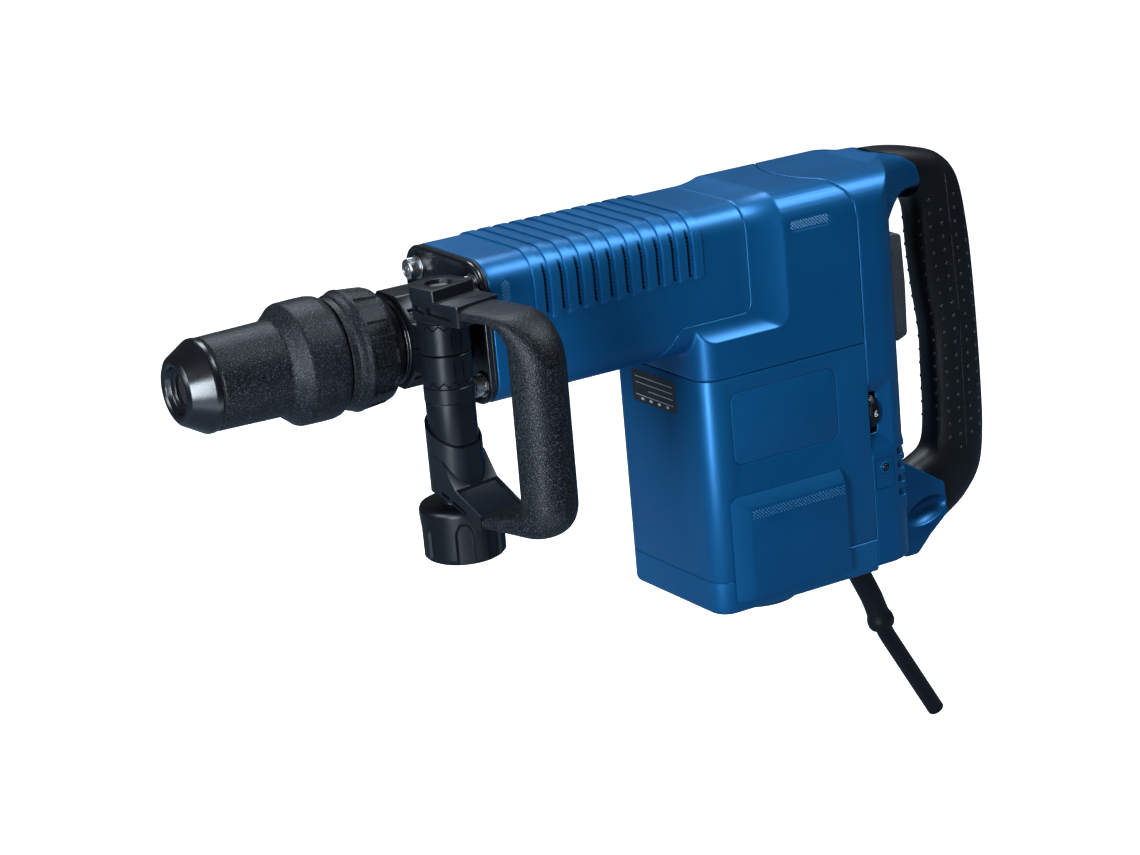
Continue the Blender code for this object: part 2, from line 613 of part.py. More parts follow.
def rear_shell():
    low, high = SHELL_BOTTOM, CASE_TOP
    shell = add_object("rear_shell", prism("z", rear_plan(0), low, high + 5), (CASE_REAR, 0, low), "blue_plastic")
    section = rounded(((-80, low - 9, 0), (80, low - 9, 0), (80, -20, 0), (CASE_HALF, -20, 0),
                       (CASE_HALF, high, CASE_TOP_RADIUS), (-CASE_HALF, high, CASE_TOP_RADIUS),
                       (-CASE_HALF, -20, 0), (-80, -20, 0)), 4)
    keep(shell, prism("x", section, 200, 400))
    arm = [(300, 4)] + rounded(((300, 4, 0), (321, 8, 10), (334, 20, 8), (352, 26, 0)))[1:-1]
    arm += [(352, 51.6), (300, 51.6)]
    foot = [(306, -200)] + list(FOOT_JOINT)
    foot += rounded(((357, -208, 3), (334, -231, 6), (318, -231, 5), (306, -217, 0)))[:-1] + [(306, -217)]
    extend(shell, prism("y", arm, -19, 19), prism("y", foot, -22, 22))
    cut(shell, prism("y", list(ARM_JOINT) + [(400, 26), (400, 90), (ARM_JOINT[0][0], 90)], -90, 90))
    roof = rounded(((-CASE_HALF + WALL, low - 9, 0), (CASE_HALF - WALL, low - 9, 0),
                    (CASE_HALF - WALL, high - WALL, 19), (-CASE_HALF + WALL, high - WALL, 19)), 4)
    hollow = guide(prism("z", rear_plan(WALL), low + WALL, high))
    keep(hollow, prism("x", roof, 200, 400))
    join(shell, hollow, "DIFFERENCE")
    cut(shell, block((200, -90, -300), (CASE_REAR + GAP / 2, 90, 25)))
    cut(shell, prism("z", rear_seam(GAP / 2, True), 20, 90))
    x, _, z = WHEEL_CENTRE
    cut(shell, block((x - 4.4, -70, z - 12.5), (x + 4.4, -40, z + 12.5)))
    cut(shell, block((310, -15.6, -80), (340, 15.6, -3)))
    cut(shell, rod("y", -70, -45, 3.0, (281, -148.8), 16), rod("z", -240, -205, 8.6, (283.3, 0), 20))


def rear_grip():
    top = [(a + GAP, b + GAP) for a, b in ARM_JOINT]
    foot = [(a + GAP / 2, b + 2 * GAP) for a, b in FOOT_JOINT[:0:-1]]
    back = rounded(((318.4, 53.4, 0), (344, 53.8, 30), (364, 49.5, 26), (390, 28, 34), (396.7, -60, 60),
                    (396.9, -178, 24), (384, -205, 14), (357.4, -218, 6), (357.4, -190, 0)), 3)
    inside = rounded(((331, -166.6, 0), (343, -158, 4), (352.7, -140, 30), (352.7, -20, 40), (347, 12, 12),
                      (352.4, 26, 0)), 3)
    outline = back[:-1] + foot + inside[:-1] + top[::-1]
    add_object("rear_grip", prism("y", outline, -16, 16), (375, 0, -90), "black_rubber")


def service_lens():
    lens = turned("y", ((-57.2, 0), (-57.2, 2.2), (-56.6, 2.6), (-50, 2.6), (-50, 0)), (281, -148.8), 14)
    add_object("service_lens", lens, (281, -56, -148.8), "lens")


# ---- controls and lead ----------------------------------------------------------------------------
def paddle_switch():
    outline = rounded(((320, -6, 2), (328, -5, 1), (334, -6, 3), (335.5, -40, 0), (334, -77, 3), (328, -78, 1),
                       (320, -77, 2)), 2)
    add_object("paddle_switch", prism("y", outline, -15, 15), PADDLE_PIVOT, "grey_plastic")
    add_object("switch_module", block((286, -12, -72), (312, 12, -18)), (299, 0, -45), "black_plastic")


def speed_wheel():
    x, y, z = WHEEL_CENTRE
    wheel = turned("x", ((x - 3.8, 0), (x - 3.8, 14.2), (x - 3.0, 15.0), (x + 3.0, 15.0), (x + 3.8, 14.2), (x + 3.8, 0)),
                   (y, z), 24)
    add_object("speed_wheel", wheel, WHEEL_CENTRE, "black_plastic")
    add_object("speed_module", block((285, -26, -150), (305, 26, -92)), (295, 0, -120), "black_plastic")


def lead_path():
    """Middle line of the mains lead in the x, z plane."""
    return curve_path(((283, -196), (284, -222), (301, -262), (309, -290), (351, -360)), (30, 60, 60), 5)


def power_cable():
    path = [(x, 0.0, z) for x, z in lead_path()]
    add_object("power_cable", loft(swept(path, circle(4.5, steps=8))), (283, 0, -217), "black_rubber")
    stages = ((283.0, -211.0, 10.5), (283.2, -213.6, 10.5), (283.2, -213.6, 7.6), (283.9, -221.0, 7.6),
              (291.5, -240.0, 7.2), (300.6, -261.5, 6.8), (306.5, -281.0, 6.6), (307.5, -284.5, 8.2),
              (309.0, -289.0, 8.2))
    outer = [(x, z, radius) for x, z, radius in stages]
    loops = []
    for stage in outer + [(x, z, 5.6) for x, z, _ in reversed(outer)]:
        loops.append(lead_loop(*stage))
    add_object("cable_sleeve", loft(loops, closed=True), (283, 0, -217), "black_rubber")
    clamp = add_object("cable_clamp", block((270.5, -12, -207), (295.5, 12, -200)), (283, 0, -203), "black_plastic")
    cut(clamp, rod("z", -215, -190, 5.0, (283.2, 0), 16))


def lead_loop(x, z, radius):
    """A ring square to the lead at the given place."""
    path = [Vector(point) for point in lead_path()]
    nearest = min(range(1, len(path) - 1), key=lambda n: (path[n] - Vector((x, z))).length)
    ahead = (path[nearest + 1] - path[nearest - 1]).normalized()
    if z > -222:
        ahead = Vector((0, -1))
    up = Vector((-ahead.y, ahead.x))
    return [(x + up.x * radius * cos(a), radius * sin(a), z + up.y * radius * cos(a))
            for a in (2 * pi * n / 12 for n in range(12))]


# ---- side handle ----------------------------------------------------------------------------------
def handle_point(across, reach, z):
    """Point given across the handle, outward from its column, and up."""
    out = Vector((sin(HANDLE_TURN), -cos(HANDLE_TURN)))
    side = Vector((cos(HANDLE_TURN), sin(HANDLE_TURN)))
    flat = Vector((COLUMN_X, COLUMN_Y)) + out * reach + side * across
    return (flat.x, flat.y, z)


def handle_prism(outline, low, high):
    return loft([[handle_point(a, b, z) for a, b in outline] for z in (low, high)])


def column_rod(low, high, radius, steps=16):
    return rod("z", low, high, radius, (COLUMN_X, COLUMN_Y), steps)


def clamp_halves():
    for name, low, high in (("clamp_half_upper", 0.4, 17.5), ("clamp_half_lower", -18.1, -0.4)):
        arm = block((-46, COLUMN_Y, low), (-22, -19, high))
        clamp = add_object(name, arm, (COLUMN_X, 0, 0), "black_plastic")
        extend(clamp, rod("x", -46, -22, BAND_OUTER, steps=24), column_rod(low, high, COLUMN_RADIUS, 20))
        cut(clamp, rod("x", -60, -10, BAND_BORE, steps=24), column_rod(-60, 60, BOLT_BORE))
        keep(clamp, block((-80, -90, low if low > 0 else -90), (20, 90, 90 if low > 0 else high)))


def clamp_bolt():
    bolt = add_object("clamp_bolt", column_rod(-122, 36, 5.0), (COLUMN_X, COLUMN_Y, 34), "steel")
    extend(bolt, prism("z", circle(7.2, COLUMN_X, COLUMN_Y, 6), 34, 40))


def spacer_sleeve():
    spacer = turned("z", ((-57, BOLT_BORE), (-57, 15.2), (-31, 15.2), (-30, COLUMN_RADIUS), (-18.7, COLUMN_RADIUS),
                          (-18.7, BOLT_BORE)), (COLUMN_X, COLUMN_Y), 20)
    add_object("spacer_sleeve", spacer, (COLUMN_X, COLUMN_Y, -18.7), "black_plastic")


def handle_oval(near, far, inset, steps=12):
    """Oval across the side handle, between a point on its inner edge and one on its outer edge."""
    middle = (near + far) / 2
    half = (far - near) / 2
    half *= 1 - inset / half.length
    loop = []
    for step in range(steps):
        angle = 2 * pi * step / steps
        reach, z = middle + half * sin(angle)
        loop.append(handle_point((GRIP_HALF - inset) * cos(angle), reach, z))
    return loop


def handle_loops(inset, further=0.0):
    """Ovals along the side handle; the run goes further by that much at both ends."""
    outer = curve_path(GRIP_OUTER_EDGE, (34, 24), 4)
    inner = curve_path(GRIP_INNER_EDGE, (12, 6), 4)
    edges = [(Vector(near), Vector(far)) for near, far in zip(inner, outer)]
    for place in (1, len(edges)):
        before, after = edges[place - 1], edges[place]
        halfway = [(point + other) / 2 for point, other in zip(before, after)]
        edges.insert(place, halfway)
    if further:
        inward = Vector((further, 0))
        first = [point - inward for point in edges[0]]
        last = [point - inward for point in edges[-1]]
        edges = [first] + edges + [last]
    return [handle_oval(near, far, inset) for near, far in edges]


def side_handle():
    lower = rounded(((-16.2, -16, 12), (16.2, -16, 12), (17, 34.7, 2), (-17, 34.7, 2)), 3)
    upper = rounded(((-16.2, -16, 12), (16.2, -16, 12), (17, 14, 3), (-17, 14, 3)), 3)
    frame = add_object("side_handle", handle_prism(lower, 21.5, 34.8), (COLUMN_X, COLUMN_Y, 0), "black_plastic")
    extend(frame, handle_prism(upper, 34, 42.5), column_rod(17.9, 23, COLUMN_RADIUS, 20))
    extend(frame, loft(handle_loops(GRIP_SKIN + 2 * GAP, 8)))
    arm = ((9, -66), (19, -66), (19, -86), (37.7, -94.5), (37.7, -104.5), (27, -96.4), (12, -90.5), (12, -78.2),
           (9, -78.2))
    cup = column_rod(-78, -40, CUP_RADIUS, 20)
    extend(frame, loft([[handle_point(across, reach, z) for reach, z in arm] for across in (-17, 17)]), cup)
    slant = ((-40, -28), (40, -72), (40, -10), (-40, -10))
    cut(frame, loft([[handle_point(across, reach, z) for reach, z in slant] for across in (-60, 60)]),
        column_rod(-57.3, 17.8, SPACER_BORE, 20), column_rod(-90, 60, BOLT_BORE), column_rod(33.5, 60, 8.4))


def side_grip():
    """Rubber sleeve round the outer run of the handle, flattened at both ends."""
    grip = loft(handle_loops(0) + handle_loops(GRIP_SKIN)[::-1], closed=True)
    add_object("side_grip", grip, handle_point(0, 83, -34), "black_rubber")


def clamp_knob():
    profile = ((-131, 0), (-131, 23), (-127, 26.2), (-98.5, 26.2), (-96, 24.5), (-94.8, 20), (-94.8, 12),
               (-78.6, 12), (-78.6, BOLT_BORE), (-124, BOLT_BORE), (-124, 0))
    knob = turned("z", profile, (COLUMN_X, COLUMN_Y), 24)
    add_object("clamp_knob", knob, (COLUMN_X, COLUMN_Y, -98), "black_plastic")


def build():
    clear_scene()
    frame = bpy.data.objects.new("tool_frame", None)
    bpy.context.scene.collection.objects.link(frame)
    frame.location = (-MOTOR_X * MM, 0, -BOSS_BOTTOM * MM)
    pieces = (dust_cap, tool_spindle, locking_rollers, sleeve_spring, locking_sleeve, setting_ring, front_flange,
              flange_gasket, flange_screws, neck_bellows, spindle_bush, cylinder_housing, beat_piece, hammer_parts,
              connecting_rod, crank_gear, armature, cooling_fan, bearings, stator, brushes, air_guide,
              hammer_tube_cover, gear_housing, motor_housing, motor_end_cap, side_pads, rear_shell, rear_grip,
              service_lens, paddle_switch, speed_wheel, power_cable, clamp_halves, clamp_bolt, spacer_sleeve,
              side_handle, side_grip, clamp_knob)
    for piece in pieces:
        piece()
    bpy.context.view_layer.update()


build()
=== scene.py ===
"""Looks of the electric demolition hammer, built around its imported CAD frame.

Shapes are worked out in millimetres in the tool's own axes: x along the hammer axis from the front of the
tube cover to the rear, y across, z up from the hammer axis. to_row() puts them in the row's frame.
"""
import json
from math import atan2, copysign, cos, floor, pi, radians, sin, sqrt, tan

import bmesh
import bpy
from mathutils import Matrix, Vector
from mathutils.bvhtree import BVHTree


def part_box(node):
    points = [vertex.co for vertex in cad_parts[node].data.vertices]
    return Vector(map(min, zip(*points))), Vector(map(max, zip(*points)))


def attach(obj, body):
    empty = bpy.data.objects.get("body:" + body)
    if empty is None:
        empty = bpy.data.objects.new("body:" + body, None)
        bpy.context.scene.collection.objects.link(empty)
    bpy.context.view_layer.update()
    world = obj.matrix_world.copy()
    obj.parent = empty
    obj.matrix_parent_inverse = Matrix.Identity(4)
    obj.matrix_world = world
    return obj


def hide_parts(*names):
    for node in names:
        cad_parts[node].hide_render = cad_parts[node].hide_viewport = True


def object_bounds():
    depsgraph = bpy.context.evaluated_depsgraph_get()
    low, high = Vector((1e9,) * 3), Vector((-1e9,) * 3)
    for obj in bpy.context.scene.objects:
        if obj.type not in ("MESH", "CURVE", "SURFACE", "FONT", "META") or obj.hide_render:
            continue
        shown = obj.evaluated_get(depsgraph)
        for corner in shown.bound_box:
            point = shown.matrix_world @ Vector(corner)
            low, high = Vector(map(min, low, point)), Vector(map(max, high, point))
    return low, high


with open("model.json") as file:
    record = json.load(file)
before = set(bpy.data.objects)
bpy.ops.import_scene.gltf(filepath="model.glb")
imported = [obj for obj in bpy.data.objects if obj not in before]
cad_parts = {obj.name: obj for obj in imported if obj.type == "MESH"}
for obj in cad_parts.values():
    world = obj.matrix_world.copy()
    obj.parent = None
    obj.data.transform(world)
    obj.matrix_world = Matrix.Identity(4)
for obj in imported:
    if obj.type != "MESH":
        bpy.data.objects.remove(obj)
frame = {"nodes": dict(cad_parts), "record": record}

cad_box = [list(corner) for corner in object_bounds()]

MM = 0.001
GAP = 0.3
WALL = 3.0
ROW_ORIGIN = Vector((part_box("hammer_tube_cover")[0].x, 0.0,
                     (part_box("tool_spindle")[0].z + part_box("tool_spindle")[1].z) / 2))
CASE_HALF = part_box("motor_housing")[1].y / MM
TUBE_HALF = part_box("hammer_tube_cover")[1].y / MM


def in_tool(node):
    """Lowest and highest corner of a CAD node in millimetres in the tool's axes."""
    return [(corner - ROW_ORIGIN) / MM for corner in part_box(node)]


TUBE_TOP = in_tool("hammer_tube_cover")[1].z
TUBE_BOTTOM = in_tool("hammer_tube_cover")[0].z
TUBE_END = in_tool("hammer_tube_cover")[1].x + GAP / 2
TUBE_RADIUS = 19.0
CASE_FRONT = in_tool("motor_housing")[0].x
CASE_REAR = in_tool("motor_housing")[1].x + GAP / 2
CASE_TOP = in_tool("gear_housing")[1].z - 2.8
CASE_TOP_RADIUS = 22.0
CASE_CORNER = 13.0
GEAR_SEAM = in_tool("gear_housing")[0].z
MOTOR_SEAM = in_tool("motor_housing")[0].z - GAP
CAP_BOTTOM = -220.0
BOSS_BOTTOM = in_tool("motor_end_cap")[0].z
BOSS_RADIUS = 30.0
CRADLE_NOSE = in_tool("gear_housing")[0].x
CRADLE_TOP = -23.0
SHOULDER_END = 213.0
SHOULDER_LOW = -36.0
SHELL_BOTTOM = -217.0
SHELL_REAR = 319.0
MOTOR_X = 207.0
CRANK_X = 176
BEARING_HOLE = 14.6
CRANK_HOLE = 12.6
FAR = 80.0           # across the tool, beyond every piece
AXES = {"x": (1, 2, 0), "y": (0, 2, 1), "z": (0, 1, 2)}


# ---- outlines and solids ----
def rounded(corners, steps=8):
    """Closed outline through (a, b, radius) corners, each corner turned into an arc."""
    outline = []
    for index, (a, b, radius) in enumerate(corners):
        here = Vector((a, b))
        before = (Vector(corners[index - 1][:2]) - here).normalized()
        after = (Vector(corners[(index + 1) % len(corners)][:2]) - here).normalized()
        if radius <= 0:
            outline.append((a, b))
            continue
        half = before.angle(after) / 2
        centre = here + (before + after).normalized() * (radius / sin(half))
        start = here + before * (radius / tan(half)) - centre
        end = here + after * (radius / tan(half)) - centre
        first = atan2(start.y, start.x)
        sweep = (atan2(end.y, end.x) - first + pi) % (2 * pi) - pi
        for step in range(steps + 1):
            angle = first + sweep * step / steps
            outline.append((centre.x + radius * cos(angle), centre.y + radius * sin(angle)))
    return outline


def box_outline(low_a, high_a, low_b, high_b, radius=0.0, steps=8):
    corners = ((low_a, low_b), (high_a, low_b), (high_a, high_b), (low_a, high_b))
    return rounded([(a, b, radius) for a, b in corners], steps)


def circle(radius, a=0.0, b=0.0, steps=64, start=0.0):
    angles = [start + 2 * pi * n / steps for n in range(steps)]
    return [(a + radius * cos(angle), b + radius * sin(angle)) for angle in angles]


def arched(half, low, high, radius, steps=8):
    """Square-footed outline whose two top corners are rounded."""
    return rounded(((-half, low, 0), (half, low, 0), (half, high, radius), (-half, high, radius)), steps)


def refined(outline, spacing):
    """Split the sides of an outline so that none is longer than spacing(a, b) at its middle."""
    result = []
    for index, (a, b) in enumerate(outline):
        after_a, after_b = outline[(index + 1) % len(outline)]
        length = sqrt((after_a - a) ** 2 + (after_b - b) ** 2)
        parts = max(1, round(length / spacing((a + after_a) / 2, (b + after_b) / 2)))
        for part in range(parts):
            share = part / parts
            result.append((a + (after_a - a) * share, b + (after_b - b) * share))
    return result


def loft(loops, closed=False):
    """Skin equal loops of points, capping the ends unless the loops close on themselves."""
    bm = bmesh.new()
    rings = [[bm.verts.new(point) for point in loop] for loop in loops]
    pairs = list(zip(rings, rings[1:]))
    if closed:
        pairs.append((rings[-1], rings[0]))
    for low, high in pairs:
        for index in range(len(low)):
            after = (index + 1) % len(low)
            bm.faces.new((low[index], low[after], high[after], high[index]))
    if not closed:
        bm.faces.new(rings[0])
        bm.faces.new(rings[-1])
    bmesh.ops.recalc_face_normals(bm, faces=bm.faces)
    return bm


def placed(axis, a, b, along):
    first, second, third = AXES[axis]
    point = [0.0, 0.0, 0.0]
    point[first] = a
    point[second] = b
    point[third] = along
    return point


def stack(axis, layers, closed=False):
    """Skin equal outlines given with their places along an axis."""
    return loft([[placed(axis, a, b, place) for a, b in outline] for place, outline in layers], closed)


def prism(axis, outline, low, high):
    return stack(axis, ((low, outline), (high, outline)))


def block(low, high, radius=0.0, axis="z", steps=6):
    first, second, along = AXES[axis]
    outline = box_outline(low[first], high[first], low[second], high[second], radius, steps)
    return prism(axis, outline, low[along], high[along])


def turned(axis, profile, centre=(0.0, 0.0), steps=96, relief=None):
    """Turn (along, radius) points about an axis; relief(along, radius, angle) may move a point outward."""
    bm = bmesh.new()
    rings = []
    for place, radius in profile:
        ring = []
        for step in range(steps if radius > 0 else 1):
            angle = 2 * pi * step / steps
            reach = radius + (relief(place, radius, angle) if relief and radius > 0 else 0.0)
            point = placed(axis, centre[0] + reach * cos(angle), centre[1] + reach * sin(angle), place)
            ring.append(bm.verts.new(point))
        rings.append(ring)
    solid = len(rings[0]) == 1
    for index, low in enumerate(rings):
        if solid and index == len(rings) - 1:
            break
        high = rings[(index + 1) % len(rings)]
        for step in range(steps):
            after = (step + 1) % steps
            around = ((low, step), (low, after), (high, after), (high, step))
            corners = [edge[turn % len(edge)] for edge, turn in around]
            bm.faces.new(list(dict.fromkeys(corners)))
    bmesh.ops.recalc_face_normals(bm, faces=bm.faces)
    return bm


def rod(axis, low, high, radius, centre=(0.0, 0.0), steps=48):
    return turned(axis, ((low, 0), (low, radius), (high, radius), (high, 0)), centre, steps)


def soft_profile(profile, radius=0.6, steps=3):
    """The same turned profile with its corners rounded, leaving points on the axis alone."""
    corners = [(place, reach, radius if reach > 0 else 0) for place, reach in profile]
    limited = []
    for index, (a, b, r) in enumerate(corners):
        before = Vector(corners[index - 1][:2]) - Vector((a, b))
        after = Vector(corners[(index + 1) % len(corners)][:2]) - Vector((a, b))
        reach = min(before.length, after.length) * 0.45
        turn = before.angle(after, pi) if before.length and after.length else pi
        limited.append((a, b, min(r, reach * tan(turn / 2)) if r and turn < radians(172) else 0))
    return rounded(limited, steps)


def swept(path, section, side=Vector((0, 1, 0))):
    """Carry a flat (across, up) section along a path, with 'across' staying near the side vector."""
    loops = []
    for index, point in enumerate(path):
        before = path[max(index - 1, 0)]
        after = path[min(index + 1, len(path) - 1)]
        ahead = (Vector(after) - Vector(before)).normalized()
        across = (side - ahead * side.dot(ahead)).normalized()
        up = ahead.cross(across)
        loops.append([Vector(point) + across * a + up * b for a, b in section])
    return loops


def curve_path(points, radii, steps=10):
    path = [points[0]]
    for index in range(1, len(points) - 1):
        corners = [(*points[index - 1], 0), (*points[index], radii[index - 1]), (*points[index + 1], 0)]
        path += rounded(corners, steps)[1:-1]
    return path + [points[-1]]


# ---- objects ----
def to_row(point):
    return ROW_ORIGIN + Vector(point) * MM


def mesh_object(name, bm):
    bmesh.ops.remove_doubles(bm, verts=bm.verts, dist=0.0005)
    bmesh.ops.recalc_face_normals(bm, faces=bm.faces)
    for vert in bm.verts:
        vert.co = to_row(vert.co)
    mesh = bpy.data.meshes.new(name)
    bm.to_mesh(mesh)
    bm.free()
    obj = bpy.data.objects.new(name, mesh)
    bpy.context.scene.collection.objects.link(obj)
    return obj


def apply_modifiers(obj):
    graph = bpy.context.evaluated_depsgraph_get()
    mesh = bpy.data.meshes.new_from_object(obj.evaluated_get(graph))
    old = obj.data
    obj.modifiers.clear()
    obj.data = mesh
    mesh.name = obj.name
    bpy.data.meshes.remove(old)
    return obj


def boolean(obj, shapes, operation):
    """Join, cut or keep with each shape in turn, and bake the result."""
    helpers = []
    for shape in shapes:
        helper = shape if isinstance(shape, bpy.types.Object) else mesh_object("helper", shape)
        modifier = obj.modifiers.new(operation, "BOOLEAN")
        modifier.operation = operation
        modifier.object = helper
        helpers.append(helper)
    apply_modifiers(obj)
    for helper in helpers:
        bpy.data.objects.remove(helper, do_unlink=True)
    return obj


def cut(obj, *shapes):
    return boolean(obj, shapes, "DIFFERENCE")


def extend(obj, *shapes):
    return boolean(obj, shapes, "UNION")


def keep(obj, *shapes):
    return boolean(obj, shapes, "INTERSECT")


def soften(obj, voxel=1.0, rounds=5):
    """Rebuild a shape as an even skin and relax it, which rounds every edge like a moulding."""
    remesh = obj.modifiers.new("even", "REMESH")
    remesh.mode = "VOXEL"
    remesh.voxel_size = voxel * MM
    remesh.adaptivity = 0.0
    smooth = obj.modifiers.new("relax", "SMOOTH")
    smooth.factor = 0.5
    smooth.iterations = rounds
    return apply_modifiers(obj)


def bevelled(obj, width=0.5, segments=2, angle=35):
    bevel = obj.modifiers.new("edges", "BEVEL")
    bevel.width = width * MM
    bevel.segments = segments
    bevel.limit_method = "ANGLE"
    bevel.angle_limit = radians(angle)
    bevel.harden_normals = False
    return apply_modifiers(obj)


def finished(obj, material, body, slot, *nodes, sharp=38):
    """Give a piece its material and smooth shading, and put it on its body in place of its CAD nodes."""
    obj.data.materials.clear()
    obj.data.materials.append(material)
    obj.data.shade_smooth()
    if sharp:
        obj.data.set_sharp_from_angle(angle=radians(sharp))
    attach(obj, body)
    if nodes:
        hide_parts(*nodes)
    return obj


def piece(name, shape, *looks, **kinds):
    """Make a mesh and finish it, with the arguments that finished() takes after its object."""
    return finished(mesh_object(name, shape), *looks, **kinds)


def joined(name, shapes):
    """One mesh from many separate small solids."""
    bm = bmesh.new()
    for shape in shapes:
        mesh = bpy.data.meshes.new("part")
        shape.to_mesh(mesh)
        shape.free()
        bm.from_mesh(mesh)
        bpy.data.meshes.remove(mesh)
    return mesh_object(name, bm)


# ---- materials ----
COAT_ROUGHNESS = 0.25


def scaled(colour, share):
    return tuple(value * share for value in colour)


class Nodes:
    """Short calls for building one material's node tree."""

    def __init__(self, name):
        self.material = bpy.data.materials.new(name)
        self.material.use_nodes = True
        self.tree = self.material.node_tree
        self.shader = self.tree.nodes["Principled BSDF"]
        self.place = self.add("ShaderNodeTexCoord").outputs["Object"]

    def add(self, kind, settings=(), **inputs):
        """New node with its settings made and its inputs, named with _ for a space, fed."""
        node = self.tree.nodes.new(kind)
        for key, value in settings:
            setattr(node, key, value)
        for key, value in inputs.items():
            self.feed(node.inputs[key.replace("_", " ")], value)
        return node

    def feed(self, socket, value):
        """Give a socket a number, a colour or a link from another node's output."""
        if isinstance(value, bpy.types.NodeSocket):
            self.tree.links.new(value, socket)
        elif socket.type == "RGBA":
            socket.default_value = (*value, 1)
        else:
            socket.default_value = value

    def noise(self, scale, detail=3.0, roughness=0.5, stretch=None):
        return self.add("ShaderNodeTexNoise", Scale=scale, Detail=detail, Roughness=roughness,
                        Vector=self.stretched(stretch)).outputs["Fac"]

    def voronoi(self, scale):
        return self.add("ShaderNodeTexVoronoi", Scale=scale, Vector=self.place).outputs["Distance"]

    def stretched(self, stretch):
        if not stretch:
            return self.place
        return self.add("ShaderNodeMapping", Scale=stretch, Vector=self.place).outputs["Vector"]

    def ramp(self, source, low, high, start=0.0, end=1.0):
        """Map a value between two positions onto two numbers or two colours."""
        if isinstance(low, (int, float)):
            return self.add("ShaderNodeMapRange", From_Min=start, From_Max=end, To_Min=low, To_Max=high,
                            Value=source).outputs["Result"]
        node = self.add("ShaderNodeValToRGB", Fac=source)
        for element, position, colour in zip(node.color_ramp.elements, (start, end), (low, high)):
            element.position = position
            element.color = (*colour, 1)
        return node.outputs["Color"]

    def mix(self, share, first, second):
        """Blend two colours; the colour sockets of the node sit after its number and vector ones."""
        node = self.add("ShaderNodeMix", [("data_type", "RGBA")])
        for socket, value in zip((node.inputs[0], node.inputs[6], node.inputs[7]), (share, first, second)):
            self.feed(socket, value)
        return node.outputs[2]

    def maths(self, operation, first, second):
        node = self.add("ShaderNodeMath", [("operation", operation)])
        for socket, value in zip(node.inputs, (first, second)):
            self.feed(socket, value)
        return node.outputs["Value"]

    def worn_edges(self, start=0.52, end=0.62):
        """A mask that picks out convex edges."""
        pointiness = self.add("ShaderNodeNewGeometry").outputs["Pointiness"]
        return self.ramp(pointiness, 0.0, 1.0, start, end)

    def bump(self, source, distance, strength=1.0):
        node = self.add("ShaderNodeBump", Distance=distance * MM, Strength=strength, Height=source)
        return node.outputs["Normal"]

    def finish(self, colour=None, roughness=None, normal=None, metallic=0.0, coat=0.0, specular=0.5):
        for key, value in (("Base Color", colour), ("Roughness", roughness), ("Normal", normal),
                           ("Metallic", metallic), ("Coat Weight", coat), ("Coat Roughness", COAT_ROUGHNESS),
                           ("Specular IOR Level", specular)):
            if value is not None:
                self.feed(self.shader.inputs[key], value)
        return self.material


def blue_material(name, low, high, worn_tone):
    """Metallic blue paint on plastic, with a fine grain and paler worn edges."""
    n = Nodes(name)
    grain = n.noise(2600, 2.0)
    cloud = n.noise(14, 3.0)
    fleck = n.voronoi(3200)
    base = n.ramp(cloud, low, high, 0.3, 0.7)
    worn = n.mix(n.maths("MULTIPLY", n.worn_edges(), 0.35), base, worn_tone)
    rough = n.maths("ADD", n.ramp(grain, 0.34, 0.44, 0.3, 0.7), n.ramp(cloud, -0.03, 0.04, 0.3, 0.7))
    height = n.maths("ADD", grain, fleck)
    return n.finish(worn, rough, n.bump(height, 0.05, 0.5), metallic=0.55, coat=0.08, specular=0.4)


def black_material(name, shade, rough_low, rough_high, grain_scale, depth, specular=0.5, painted_sparkle_share=0.0):
    """Moulded black plastic or rubber with an eroded grain; pale flecks of painted sparkle may be mixed into
    its colour.
    """
    n = Nodes(name)
    grain = n.voronoi(grain_scale)
    fine = n.noise(grain_scale * 2.2, 2.0)
    cloud = n.noise(22, 3.0)
    dust = n.ramp(cloud, shade, scaled(shade, 1.9), 0.35, 0.75)
    worn = n.mix(n.maths("MULTIPLY", n.worn_edges(), 0.3), dust, scaled(shade, 5))
    # Pale flecks mixed into the base colour are painted sparkle: painted highlights standing in for light
    # caught by the grain.
    if painted_sparkle_share:
        painted_sparkle = n.maths("MULTIPLY", n.ramp(n.noise(1250, 1.5, 0.7), 0.0, 1.0, 0.54, 0.74), painted_sparkle_share)
        worn = n.mix(painted_sparkle, worn, (0.16, 0.17, 0.19))
    rough = n.ramp(n.maths("ADD", n.maths("MULTIPLY", fine, 0.5), n.maths("MULTIPLY", cloud, 0.5)),
                   rough_low, rough_high, 0.3, 0.7)
    height = n.maths("ADD", grain, n.maths("MULTIPLY", fine, 0.5))
    return n.finish(worn, rough, n.bump(height, depth, 0.8), specular=specular)


def metal_material(name, colour, roughness, stretch, metallic=1.0):
    """Machined metal with fine turning or grinding lines and faint stains."""
    n = Nodes(name)
    lines = n.noise(900, 2.0, 0.6, stretch)
    stain = n.noise(60, 4.0)
    base = n.ramp(stain, scaled(colour, 0.75), colour, 0.3, 0.65)
    lined = n.ramp(lines, roughness - 0.08, roughness + 0.1, 0.3, 0.7)
    rough = n.maths("ADD", lined, n.ramp(stain, -0.05, 0.08))
    return n.finish(base, rough, n.bump(lines, 0.02, 0.5), metallic=metallic)


def plain_material(name, colour, rough, metallic=0.0, scale=800.0):
    n = Nodes(name)
    grain = n.noise(scale, 3.0)
    base = n.ramp(grain, scaled(colour, 0.8), colour, 0.3, 0.7)
    return n.finish(base, n.ramp(grain, rough - 0.07, rough + 0.07, 0.3, 0.7), n.bump(grain, 0.03, 0.5),
                    metallic=metallic)


